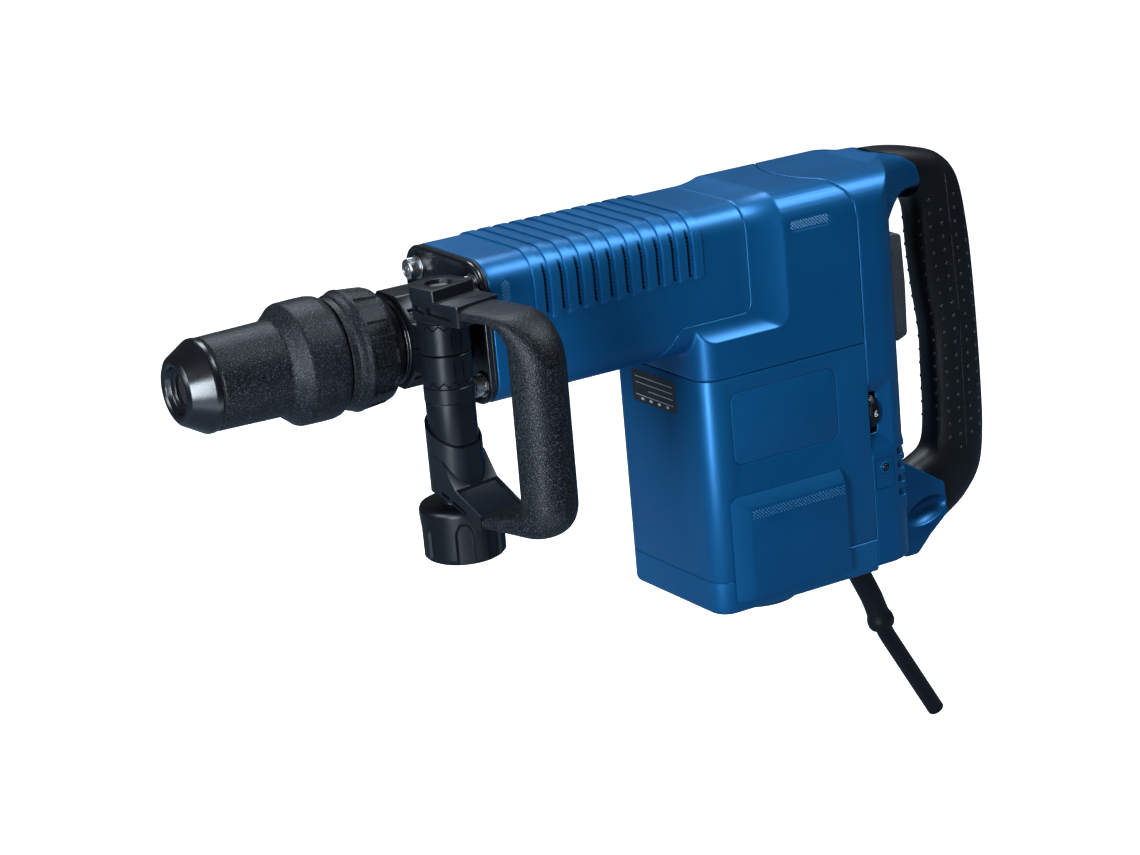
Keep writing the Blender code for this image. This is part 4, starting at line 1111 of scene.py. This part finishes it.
def clamp_half(name, low, high, upper):
    """One half of the clamp: half a band round the neck and a drum round the bolt."""
    seam, far = (low, 90) if upper else (high, -90)
    column = drum(name, seam if upper else low + 0.2, high - 0.2 if upper else seam, not upper, upper)
    octagon = [(y, z, 4) for y, z in circle(29.6 / cos(pi / 8), steps=8, start=pi / 8)]
    band = mesh_object("band", prism("x", rounded(octagon, 5), -46, -22))
    step_low, step_high = (0, 2.5) if upper else (2.5, 0)
    extend(band, block((-45, COLUMN_Y + 4, low + step_low), (-23.5, -19, high - step_high)))
    for angle in (radians(45), radians(135), radians(225), radians(315)):
        middle = Vector((0, cos(angle), sin(angle))) * 30.2
        cut(band, rod("x", -43.2, -24.8, 2.2, (middle.y, middle.z), 12))
    cut(band, rod("x", -60, -10, 25.4, steps=128), rod("z", -60, 60, 15.2, COLUMN, 64))
    keep(band, block((-80, -90, min(seam, far)), (20, 90, max(seam, far))))
    bevelled(band, 0.5, 2, 40)
    window = 5.0 if upper else -13.0
    for x in (COLUMN_X - 3.4, COLUMN_X + 2.6):
        cut(column, block((x, COLUMN_Y - 17.5, window), (x + 0.8, COLUMN_Y - 14.6, window + 9)))
    extend(column, band)
    finished(column, *CLAMP_BLACK, name.replace("clamp", "clamp_half"), sharp=36)


def clamp_halves():
    clamp_half("clamp_upper", 0.4, 17.5, True)
    clamp_half("clamp_lower", -18.1, -0.4, False)
    finished(drum("washer_upper", CLAMP_TOP, CLAMP_TOP + WASHER, low_teeth=True), *CLAMP_BLACK, sharp=36)
    finished(drum("washer_lower", CLAMP_LOW - WASHER, CLAMP_LOW, high_teeth=True), *CLAMP_BLACK, sharp=36)


def spacer_sleeve():
    finished(drum("spacer_top", -30.2, CLAMP_LOW - WASHER - GAP), *HANDLE_BLACK, sharp=36)
    profile = soft_profile(((-57, DRUM_BORE), (-57, 15.3), (-30.8, 15.35), (-30.4, 15.0), (-30.1, 15.0),
                            (-30.1, DRUM_BORE)), 0.3)
    piece("spacer_sleeve", turned("z", profile, COLUMN, 96), *HANDLE_BLACK, "spacer_sleeve")


def head_outline(reach, inset=0.0, nose=16.2):
    half = nose - inset
    return rounded(((-half, -half, 12 - inset), (half, -half, 12 - inset), (17 - inset, reach - inset, 2),
                    (-17 + inset, reach - inset, 2)), 10)


def handle_head():
    """Top block of the side handle: a ledge with a pocketed band below and the bolt seat above."""
    head = mesh_object("handle_head", handle_prism(head_outline(34.7), 33.2, 35.6))
    band = mesh_object("band", handle_prism(head_outline(34.7, 0.8), 22.0, 33.6))
    for side in (-1, 1):
        for near, far, low in ((-7, 2.5, 27.5), (4.5, 27, 26.5)):
            pocket = ((near, 31.5), (far, 31.5), (far, low - 1.5), (near, low + 0.5))
            cut(band, handle_slab(pocket, side * 12.5, side * 20))
    upper = mesh_object("upper", handle_prism(head_outline(13.5), 34.5, 42.5))
    cut(upper, handle_prism(circle(8.4, steps=48), 38.0, 60))
    extend(head, band, upper, drum("collar", CLAMP_TOP + WASHER + GAP, 23.5))
    cut(head, rod("z", 0, 80, 5.7, COLUMN, 32))
    bevelled(head, 0.45, 2, 32)
    finished(head, *HANDLE_BLACK, "side_handle", sharp=36)


def squarish(angle, power):
    """Cosine and sine of an angle, pushed out towards a square for powers under one."""
    return [copysign(abs(part) ** power, part) for part in (cos(angle), sin(angle))]


def handle_oval(near, far, inset, steps=40):
    """Section of the side grip between points on its inner and outer edges: a flat oval growing round."""
    middle = (near + far) / 2
    half = (far - near) / 2
    share = min(1.0, half.length / GRIP_HALF)
    half = half * (1 - inset / half.length)
    loop = []
    for step in range(steps):
        wide, lift = squarish(2 * pi * step / steps, 0.55 + 0.45 * share)
        reach, z = middle + half * lift
        loop.append(handle_point((GRIP_HALF - inset) * wide, reach, z))
    return loop


def edge_line(corners, radii):
    """Edge of the grip seen from the side, with the same number of points for any corners."""
    points = curve_path(corners, radii, 12)
    line = []
    for index, point in enumerate(points[:-1]):
        parts = 8 if (Vector(points[index + 1]) - Vector(point)).length > 8 else 1
        if index in (0, 13, 12, len(points) - 2):
            parts = 8
        for part in range(parts):
            line.append(Vector(point).lerp(Vector(points[index + 1]), part / parts))
    return line + [Vector(points[-1])]


def grip_loops(inset):
    outer = edge_line(((35, 34.2), (100, 34), (99.5, -106), (38, -104.5)), (34, 24))
    inner = edge_line(((35, 25.6), (66, 26), (65, -87), (38, -94.5)), (12, 6))
    return [handle_oval(near, far, inset) for near, far in zip(inner, outer)]


def side_grip():
    loops = grip_loops(0)
    middle = [sum((Vector(point) for point in loop), Vector()) / len(loop) for loop in (loops[0], loops[-1])]
    for place, centre in ((0, middle[0]), (-1, middle[1])):
        rim = [tuple(Vector(point).lerp(centre, 0.07)) for point in loops[place]]
        step = Vector(handle_point(0, -0.7, 0)) - Vector(handle_point(0, 0, 0))
        shifted = [tuple(Vector(point) + step) for point in rim]
        loops = [shifted] + loops if place == 0 else loops + [shifted]
    piece("side_grip", loft(loops), GRAINED, "handle", "black_rubber", "side_grip", sharp=50)


def handle_arm():
    """Lower arm of the side handle: a cup round the column running out into a rimmed tray."""
    arm = mesh_object("arm_body", rod("z", -87.2, -40, CUP_RADIUS, COLUMN, 96))
    side_line = ((-3, -62), (7, -66), (16.5, -82), (37.7, -95.2), (37.7, -104.5), (33, -103.5), (27, -97.6),
                 (12, -91.4), (-3, -86.2))
    extend(arm, handle_slab(side_line, -17.5, 17.5))
    cut(arm, handle_slab(((-40, -28), (40, -72), (40, -10), (-40, -10)), -60, 60))
    tray = ((16.6, -45), (16.9, -84.2), (39, -97.2), (60, -70), (30, -30))
    cut(arm, handle_slab(tray, -15.9, 15.9))
    for side in (-1, 1):
        for span in (((4, -84.6), (11, -87.2), (11, -89.4), (4, -87.0)),
                     ((13.5, -88.6), (25, -94.2), (25, -96), (13.5, -90.6))):
            cut(arm, handle_slab(span, side * 15, side * 21))
    cut(arm, rod("z", -58, -20, 16.0, COLUMN, 96), rod("z", -120, 0, 5.8, COLUMN, 48),
        rod("z", -100, -78.8, 12.5, COLUMN, 64))
    bevelled(arm, 0.4, 2, 32)
    finished(arm, *HANDLE_BLACK, sharp=36)


def clamp_bolt():
    profile = soft_profile(((-122, 0), (-122, 5.0), (36, 5.0), (36, 6.9), (39.6, 7.1), (40.4, 6.0),
                            (40.4, 0)), 0.4)
    bolt = mesh_object("clamp_bolt", turned("z", profile, COLUMN, 48))
    extend(bolt, prism("z", circle(7.0, *COLUMN, 6), 34.2, 39.4))
    finished(bolt, STEEL, "handle", "steel", "clamp_bolt", sharp=32)


FLUTES = 8


def flute_relief(place, radius, angle):
    """Wide rounded flutes round the clamp knob."""
    if not -130 < place < -98 or radius < 20:
        return 0.0
    turn = abs((angle / (2 * pi) * FLUTES + 0.1) % 1.0 - 0.5)
    arch = -103.0 - 34.0 * max(0.0, turn - 0.12)
    across = 1 - smooth_step(turn, 0.235, 0.295)
    return -1.7 * across * smooth_step(place, -129.6, -127.2) * (1 - smooth_step(place, arch - 2.4, arch))


def clamp_knob():
    outer = [(-131, 0.0), (-131, 20.5), (-130.6, 22.4), (-129.6, 24.2), (-128.2, 25.4)]
    outer += [(-127 + step * 1.0, 26.0 + 0.008 * step) for step in range(26)]
    outer += [(-101.5 + step * 0.5, 26.2 - 0.005 * step) for step in range(6)]
    outer += [(-98.2, 26.0), (-97.0, 25.5), (-96.0, 24.6), (-95.2, 23.0), (-94.8, 20), (-94.8, 12.4),
              (-94.2, 12), (-79.2, 12), (-78.6, 11.4), (-78.6, 5.7), (-94, 5.7), (-94, 0.0)]
    knob = turned("z", outer, COLUMN, 320, flute_relief)
    piece("clamp_knob", knob, BLACK, "knob", "black_plastic", "clamp_knob", sharp=34)


# ---- rear shell ----
WHEEL_X, WHEEL_Y, WHEEL_Z = 275.0, -43.5, -110.5
WHEEL_RADIUS = 13.4
LENS_X, LENS_Z = 281.0, -148.8
ARM_JOINT = ((318.0, 51.8), (337.0, 46.6), (348.0, 38.5), (351.6, 29.0), (351.0, 20.0))
FOOT_JOINT = ((316.0, -161.0), (323.0, -164.0), (354.0, -184.6), (356.0, -207.6))
ARM_TOP = 51.6
NOTCHES = 4
NOTCH_PITCH = 9.6
NOTCH_TOP = -141.0
NOTCH_HALF = 2.7
NOTCH_DEPTH = 5.2


def rear_plan(inset, steps=10):
    half = CASE_HALF - inset
    rear = SHELL_REAR - inset
    right = [(CASE_REAR - 32, -half, 0), (rear - 22, -half, 20), (rear, -half + 38, 24)]
    return rounded(right + [(x, -y, radius) for x, y, radius in right[::-1]], steps)


def joint_curve(points, steps=8):
    """Smooth line through the corner points of a joint."""
    inner = [(a, b, 9) for a, b in points[1:-1]]
    return rounded([(*points[0], 0), *inner, (*points[-1], 0)], steps)


ARM_SECTIONS = ((296, 47, -4), (304, 40, 0), (311, 33.5, 4), (318, 28, 9), (325, 24, 15), (332, 21.2, 20.5),
                (339, 19.4, 22.4), (346, 18.2, 22.6), (353, 17.4, 22.4))


def arm_loft():
    """Upper arm, narrowing from the shell to the joint with the grip."""
    layers = []
    for x, half, low in ARM_SECTIONS:
        high = CASE_TOP - 0.2 + (ARM_TOP - CASE_TOP) * smooth_step(x, 300, 322)
        layers.append((x, rounded(((-half, low, 5), (half, low, 5), (half, high, 14), (-half, high, 14)), 8)))
    return stack("x", layers)


def foot_outline():
    heel = rounded((FOOT_JOINT[-1] + (0,), (340.5, -219.7, 4), (329, -231, 5), (318, -231, 5),
                    (306, -217, 0)))
    return [(306, -200)] + list(FOOT_JOINT) + heel[1:-1] + [(306, -217)]


def shell_body():
    """The rear shell as a solid block with its arm and foot."""
    low, high = SHELL_BOTTOM, CASE_TOP
    shell = mesh_object("shell", stack("z", [(z, rear_plan(inset)) for z, inset in (
        (low, 2.6), (low + 0.8, 1.2), (low + 2.4, 0.2), (low + 4, 0), (high + 5, 0))]))
    section = rounded(((-80, low - 9, 0), (80, low - 9, 0), (80, -20, 0), (CASE_HALF, -20, 0),
                       (CASE_HALF, high, CASE_TOP_RADIUS), (-CASE_HALF, high, CASE_TOP_RADIUS),
                       (-CASE_HALF, -20, 0), (-80, -20, 0)), 12)
    keep(shell, prism("x", section, 200, 400))
    extend(shell, mesh_object("arm", arm_loft()), mesh_object("foot", prism("y", foot_outline(), -22, 22)))
    return shell


def air_notches(side):
    """Bars that cut the row of air notches out of a rear corner, leaving the post behind them."""
    bars = []
    for row in range(NOTCHES):
        z = NOTCH_TOP - NOTCH_PITCH * row
        near, far = sorted((side * 30, side * 60))
        bar = mesh_object("bar", block((292, near, z - NOTCH_HALF), (331, far, z + NOTCH_HALF)))
        bars.append(cut(bar, prism("z", rear_plan(NOTCH_DEPTH), z - 9, z + 9)))
    return bars


def foot_bowl(side):
    """Slanted egg shape that hollows a side of the foot."""
    bowl = bmesh.new()
    bmesh.ops.create_uvsphere(bowl, u_segments=48, v_segments=24, radius=1)
    turn = Matrix.Rotation(radians(-14), 3, "Y")
    for vert in bowl.verts:
        vert.co = Vector((338, side * 24.5, -201.5)) + turn @ (vert.co * Vector((18.0, 9.5, 9.5)))
    return bowl


def rear_shell():
    low, high = SHELL_BOTTOM, CASE_TOP
    shell = shell_body()
    hollow = mesh_object("hollow", prism("z", rear_plan(WALL), low + WALL, high))
    keep(hollow, prism("x", arched(CASE_HALF - WALL, low - 9, high - WALL, CASE_TOP_RADIUS - WALL), 200, 400))
    cut(shell, hollow)
    cutters = []
    for side, _ in SIDES:
        post = [(280, side * 54), (299, side * 53), (311, side * 34), (303, side * 30), (288, side * 46)]
        extend(shell, prism("z", post, -182, -134))
        cutters += air_notches(side)
    cutters += [foot_bowl(side) for side, _ in SIDES]
    pocket = stack("y", ((-60, box_outline(270.6, 291.6, -139.5, -86.5, 3)),
                         (-CASE_HALF, box_outline(270.8, 290.4, -138.5, -88, 3)),
                         (-51.5, box_outline(271.0, 280.5, -127, -98, 1.5))))
    slot = block((WHEEL_X - 4.4, -70, WHEEL_Z - 14.2), (WHEEL_X + 4.4, -40, WHEEL_Z + 14.2))
    extend(shell, block((WHEEL_X - 9.5, -CASE_HALF + 1.5, WHEEL_Z - 31), (WHEEL_X + 15, -49.5, WHEEL_Z + 27)),
           block((LENS_X - 11, -CASE_HALF + 1.5, LENS_Z - 17), (LENS_X + 9, -51.5, LENS_Z + 11)))
    cut(shell, *cutters, pocket, slot, block((310, -15.8, -80), (340, 15.8, -3)),
        rod("y", -70, -45, 3.1, (LENS_X, LENS_Z), 32), rod("z", -240, -205, 8.7, (283.3, 0), 48))
    over_arm = joint_curve(ARM_JOINT) + [(400, 20), (400, 90), (ARM_JOINT[0][0], 90)]
    cut(shell, prism("y", over_arm, -90, 90), block((200, -90, -300), (CASE_REAR + GAP / 2, 90, 25)),
        prism("z", rear_seam(GAP / 2, True), 20, 90))
    soften(shell, 0.85, 3)
    groove = prism("y", box_outline(272.2, 288.2, -163.5, -141.5, 3.5), -60, -CASE_HALF + 0.55)
    island = prism("y", box_outline(273.0, 287.4, -162.7, -142.3, 2.8), -61, -50)
    cut(shell, cut(mesh_object("panel", groove), island))
    finished(shell, *BLUE_CASING, "rear_shell", sharp=58)


# ---- rear grip ----
GRIP_Y = 16.0
DOT_PITCH = 9.4
VIEW_WAY = Vector((1297, 1717, -604)).normalized()
GRIP_SPINE = (((298, 14), (298, 53)), ((318, 15), (318, 53)), ((335, 15), (338, 51.2)),
              ((347, 14), (358, 46.8)), ((351.5, 6), (377, 39.5)), ((352.4, -6), (390.5, 22)),
              ((353, -26), (397, -14)), ((355.8, -55), (399.6, -50)), ((359.6, -84), (400.8, -86)),
              ((359.6, -112), (401.6, -122)), ((359, -146), (401, -160)), ((355, -163), (396, -187)),
              ((343, -170), (381, -206)), ((329, -175), (362, -218)), ((313, -182), (345, -230)))


def through(points, steps=6):
    """Smooth curve passing through every point."""
    line = []
    ends = [points[0]] + list(points) + [points[-1]]
    for before, here, after, beyond in zip(ends, ends[1:], ends[2:], ends[3:]):
        for step in range(steps):
            t = step / steps
            bend = (after - before) * t + (before * 2 - here * 5 + after * 4 - beyond) * t ** 2
            line.append(here + (bend + (here * 3 - before - after * 3 + beyond) * t ** 3) / 2)
    return line + [points[-1]]


def grip_solid(steps=56):
    """The grip before its joints are cut: a nearly round section that runs on past both of them."""
    inner, outer = (through([Vector(pair[edge]) for pair in GRIP_SPINE]) for edge in (0, 1))
    loops = []
    for near, far in zip(inner, outer):
        loop = []
        for step in range(steps):
            across, lift = squarish(2 * pi * step / steps, 0.78)
            place = (near + far) / 2 + (far - near) / 2 * lift
            loop.append((place.x, GRIP_Y * across, place.y))
        loops.append(loop)
    return mesh_object("grip", loft(loops))


def dot(place, out, radius=1.25, height=0.62, steps=12):
    """Small domed bump standing on a surface."""
    across = out.orthogonal().normalized()
    up = out.cross(across)
    bm = bmesh.new()
    rings = [[bm.verts.new(place + out * height * lift + across * a + up * b)
              for a, b in circle(radius * reach, steps=steps)]
             for reach, lift in ((1.0, -0.5), (1.0, 0.1), (0.8, 0.62), (0.42, 0.93))]
    tip = bm.verts.new(place + out * height)
    bm.faces.new(rings[0][::-1])
    for n in range(steps):
        after = (n + 1) % steps
        for low, high in zip(rings, rings[1:]):
            bm.faces.new((low[n], low[after], high[after], high[n]))
        bm.faces.new((rings[-1][n], rings[-1][after], tip))
    return bm


def struck(tree, start, direction):
    """Where a line from start meets the surface, in tool millimetres, with the surface's normal."""
    hit, normal, _, _ = tree.ray_cast(to_row(start), Vector(direction).normalized())
    return ((hit - ROW_ORIGIN) / MM, normal) if hit else (None, None)


def grip_point(tree, x, z):
    """Point and normal where the camera's line through (x, z) on the near side meets the grip."""
    return struck(tree, Vector((x, -GRIP_Y, z)) - VIEW_WAY * 60, VIEW_WAY)


DOT_COLUMNS = ((349.0, 355.6, 4, -146), (358.4, 365.6, 12, -158), (368.2, 374.6, 8, -162),
               (379.5, 384.4, 12, -166), (387.0, 391.6, 2, -160))


def grip_dots(tree):
    """Rows of raised dots on both sides of the grip and down its back."""
    dots = []
    mirror = Vector((1, -1, 1))
    for column, (top_x, low_x, high, low) in enumerate(DOT_COLUMNS):
        for row in range(int((high - low) / DOT_PITCH) + 1):
            z = high - DOT_PITCH * row - (0 if column % 2 else DOT_PITCH / 2)
            place, out = grip_point(tree, low_x + (top_x - low_x) * smooth_step(z, -85, 5), z)
            if place:
                dots += [dot(place, out), dot(place * mirror, out * mirror)]
    for y in (-4.5, 4.5):
        for row in range(18):
            z = 6 - DOT_PITCH * row - (DOT_PITCH / 2 if y > 0 else 0)
            place, out = struck(tree, (440, y, z), (-1, 0, 0))
            if place:
                dots.append(dot(place, out))
    return dots


def grip_groove(tree, side):
    """Thin rod along a side of the grip, which cuts the line behind its middle rows of dots."""
    path = []
    for z in range(28, -172, -5):
        place, _ = grip_point(tree, 379.0 - 4.0 * smooth_step(z, -85, 5) - 2.6 * smooth_step(z, -10, 40), z)
        if place:
            path.append((place.x, -side * place.y, place.z))
    return loft(swept(path, circle(0.6, steps=8)))


def rear_grip():
    grip = grip_solid()
    top = [(a + GAP, b + GAP) for a, b in joint_curve(ARM_JOINT)]
    foot = [(a + GAP, b + 2 * GAP) for a, b in FOOT_JOINT[:0:-1]]
    between_joints = [(317.0, 60), (420, 60), (420, -240), (356.4, -240)] + foot
    between_joints += [(321, -150), (321, 0), (350, 18)] + top[::-1]
    keep(grip, prism("y", between_joints, -40, 40))
    tree = BVHTree.FromObject(grip, bpy.context.evaluated_depsgraph_get())
    cut(grip, *[grip_groove(tree, side) for side, _ in SIDES])
    finished(grip, *CASING_RUBBER, "rear_grip", sharp=45)
    finished(joined("grip_dots", grip_dots(tree)), DOT_RUBBER, "casing", "black_rubber")


# ---- controls and lead ----
def paddle_switch():
    outline = rounded(((320, -6, 2), (329, -5, 1.5), (335.0, -7, 3), (336.4, -40, 60), (335.8, -77, 3),
                       (328, -80, 1.5), (320, -79, 2)), 6)
    paddle = bevelled(mesh_object("paddle", prism("y", outline, -15, 15)), 1.4, 3, 40)
    finished(paddle, GREY, "paddle", "grey_plastic", "paddle_switch", sharp=50)
    studs = [knurl((329.2, side * 15.0, -41), (-side, 0, 0), (0, 0, 1), (7.0, 66), 2.2, 0.35)
             for side, _ in SIDES]
    studs.append(knurl((336.0, 0, -41), (0, 1, 0), (0, 0, 1), (25, 62), 2.6, 0.45))
    finished(joined("paddle_studs", studs), GREY, "paddle", "grey_plastic", sharp=20)


def digit(text, size):
    """A digit as a thin solid in the plane facing -y, centred on the origin."""
    curve = bpy.data.curves.new("digit", "FONT")
    curve.body = text
    curve.size = size
    curve.extrude = 0.1
    curve.align_x = curve.align_y = "CENTER"
    holder = bpy.data.objects.new("digit", curve)
    bpy.context.scene.collection.objects.link(holder)
    mesh = bpy.data.meshes.new_from_object(holder.evaluated_get(bpy.context.evaluated_depsgraph_get()))
    bm = bmesh.new()
    bm.from_mesh(mesh)
    bpy.data.objects.remove(holder, do_unlink=True)
    bpy.data.meshes.remove(mesh)
    return bm


DIGIT_SIZE = 6.4
DIGIT_STEP = radians(57)


def wheel_digit(number):
    """A digit wrapped round the rim of the speed wheel; the last one faces outward."""
    mark = digit(str(number), DIGIT_SIZE)
    for vert in mark.verts:
        across, up, lift = vert.co
        reach = WHEEL_RADIUS - 0.02 + lift
        angle = up / WHEEL_RADIUS - DIGIT_STEP * (number - 6)
        vert.co = Vector((WHEEL_X + 0.3 + across, WHEEL_Y - reach * cos(angle), WHEEL_Z + reach * sin(angle)))
    return mark


def speed_wheel():
    def ribs(place, radius, angle):
        notched = radius > WHEEL_RADIUS - 0.8 and abs(place - WHEEL_X) > 2.2
        return -0.35 * (0.5 + 0.5 * cos(40 * angle)) if notched else 0.0
    rim = ((3.8, -1.7), (3.5, -1.0), (2.9, -0.5), (2.3, -0.3), (2.1, -0.2))
    half = [(3.8, 0)] + [(across, WHEEL_RADIUS + drop) for across, drop in rim]
    profile = [(WHEEL_X - across, reach) for across, reach in half] + [(WHEEL_X, WHEEL_RADIUS)]
    profile += [(WHEEL_X + across, reach) for across, reach in half[::-1]]
    wheel = turned("x", profile, (WHEEL_Y, WHEEL_Z), 200, ribs)
    piece("wheel", wheel, BLACK, "dial", "black_plastic", "speed_wheel", sharp=40)
    digits = joined("wheel_digits", [wheel_digit(number) for number in range(1, 7)])
    finished(digits, WHITE_INK, "dial", "black_plastic", sharp=0)


def service_lens():
    dome = ((-57.0, 0), (-57.0, 0.9), (-56.8, 1.6), (-56.4, 2.2), (-55.9, 2.5), (-50, 2.6), (-50, 0))
    piece("lens", turned("y", dome, (LENS_X, LENS_Z), 40), LENS, "casing", "lens", "service_lens")
    rim = ((-56.0, 2.7), (-56.5, 2.9), (-56.6, 3.4), (-56.4, 4.0), (-55.8, 4.2), (-55.8, 2.7))
    piece("lens_rim", turned("y", rim, (LENS_X, LENS_Z), 48), *BLUE_CASING)


def lead_path(steps=14):
    corners = ((283, -196), (284, -222), (303, -262), (312, -289), (352, -358.5))
    return curve_path(corners, (30, 60, 60), steps)


def along_lead(path, distance):
    """Point at a distance down the lead, and the lead's direction there."""
    for before, after in zip(path, path[1:]):
        step = (Vector(after) - Vector(before))
        if distance <= step.length:
            return Vector(before) + step.normalized() * distance, step.normalized()
        distance -= step.length
    return Vector(path[-1]), (Vector(path[-1]) - Vector(path[-2])).normalized()


def lead_tube(name, stages, steps=40):
    """Round body along the lead through (distance, radius) stages."""
    path = lead_path()
    loops = []
    for distance, radius in stages:
        centre, ahead = along_lead(path, distance)
        loops.append([(centre.x - ahead.y * a, b, centre.y + ahead.x * a)
                      for a, b in circle(radius, steps=steps)])
    return mesh_object(name, loft(loops))


CABLE_RADIUS = 6.0


def power_cable():
    length = sum((Vector(b) - Vector(a)).length for a, b in zip(lead_path(), lead_path()[1:]))
    stages = [(0.5 + (length - 1.2) * n / 90, CABLE_RADIUS) for n in range(91)]
    stages += [(length - 0.3, CABLE_RADIUS - 0.2), (length - 0.05, CABLE_RADIUS - 0.6)]
    finished(lead_tube("cable", stages), *CASING_RUBBER, "power_cable", sharp=50)
    sleeve = [(15.2, 8.0), (15.2, 10.0), (15.8, 10.4), (17.2, 10.4), (17.8, 10.0), (18.0, 8.4), (18.8, 8.1)]
    sleeve += [(20 + 5.6 * step, 8.0 - 0.02 * step) for step in range(11)]
    sleeve += [(81, 7.9), (83.5, 8.2), (85.5, 9.0), (87.5, 9.5), (91.2, 9.5), (93.2, 8.6), (93.8, 6.8)]
    finished(lead_tube("lead_sleeve", sleeve), *CASING_RUBBER, "cable_sleeve", sharp=40)


# ---- the scene ----
SLOT_LOOKS = {"blue_casing": BLUE, "black_plastic": BLACK, "black_rubber": RUBBER, "grey_plastic": GREY,
              "steel": STEEL, "dark_steel": DARK_STEEL, "cast_aluminium": ALUMINIUM, "copper": COPPER,
              "bronze": BRONZE, "carbon": CARBON, "lens": LENS}

for build in (camera, studio, tube_cover, gear_case, motor_case, end_cap, side_pads, dust_cap,
              locking_sleeve, setting_ring, neck_bellows, flange, clamp_halves, spacer_sleeve, handle_head,
              handle_arm, side_grip, clamp_bolt, clamp_knob, rear_shell, rear_grip, paddle_switch,
              speed_wheel, service_lens, power_cable):
    build()

slots = {part["node"]: part["material_slot"] for part in frame["record"]["subparts"]}
for node, thing in frame["nodes"].items():
    thing.data.materials.clear()
    thing.data.materials.append(SLOT_LOOKS[slots[node]])
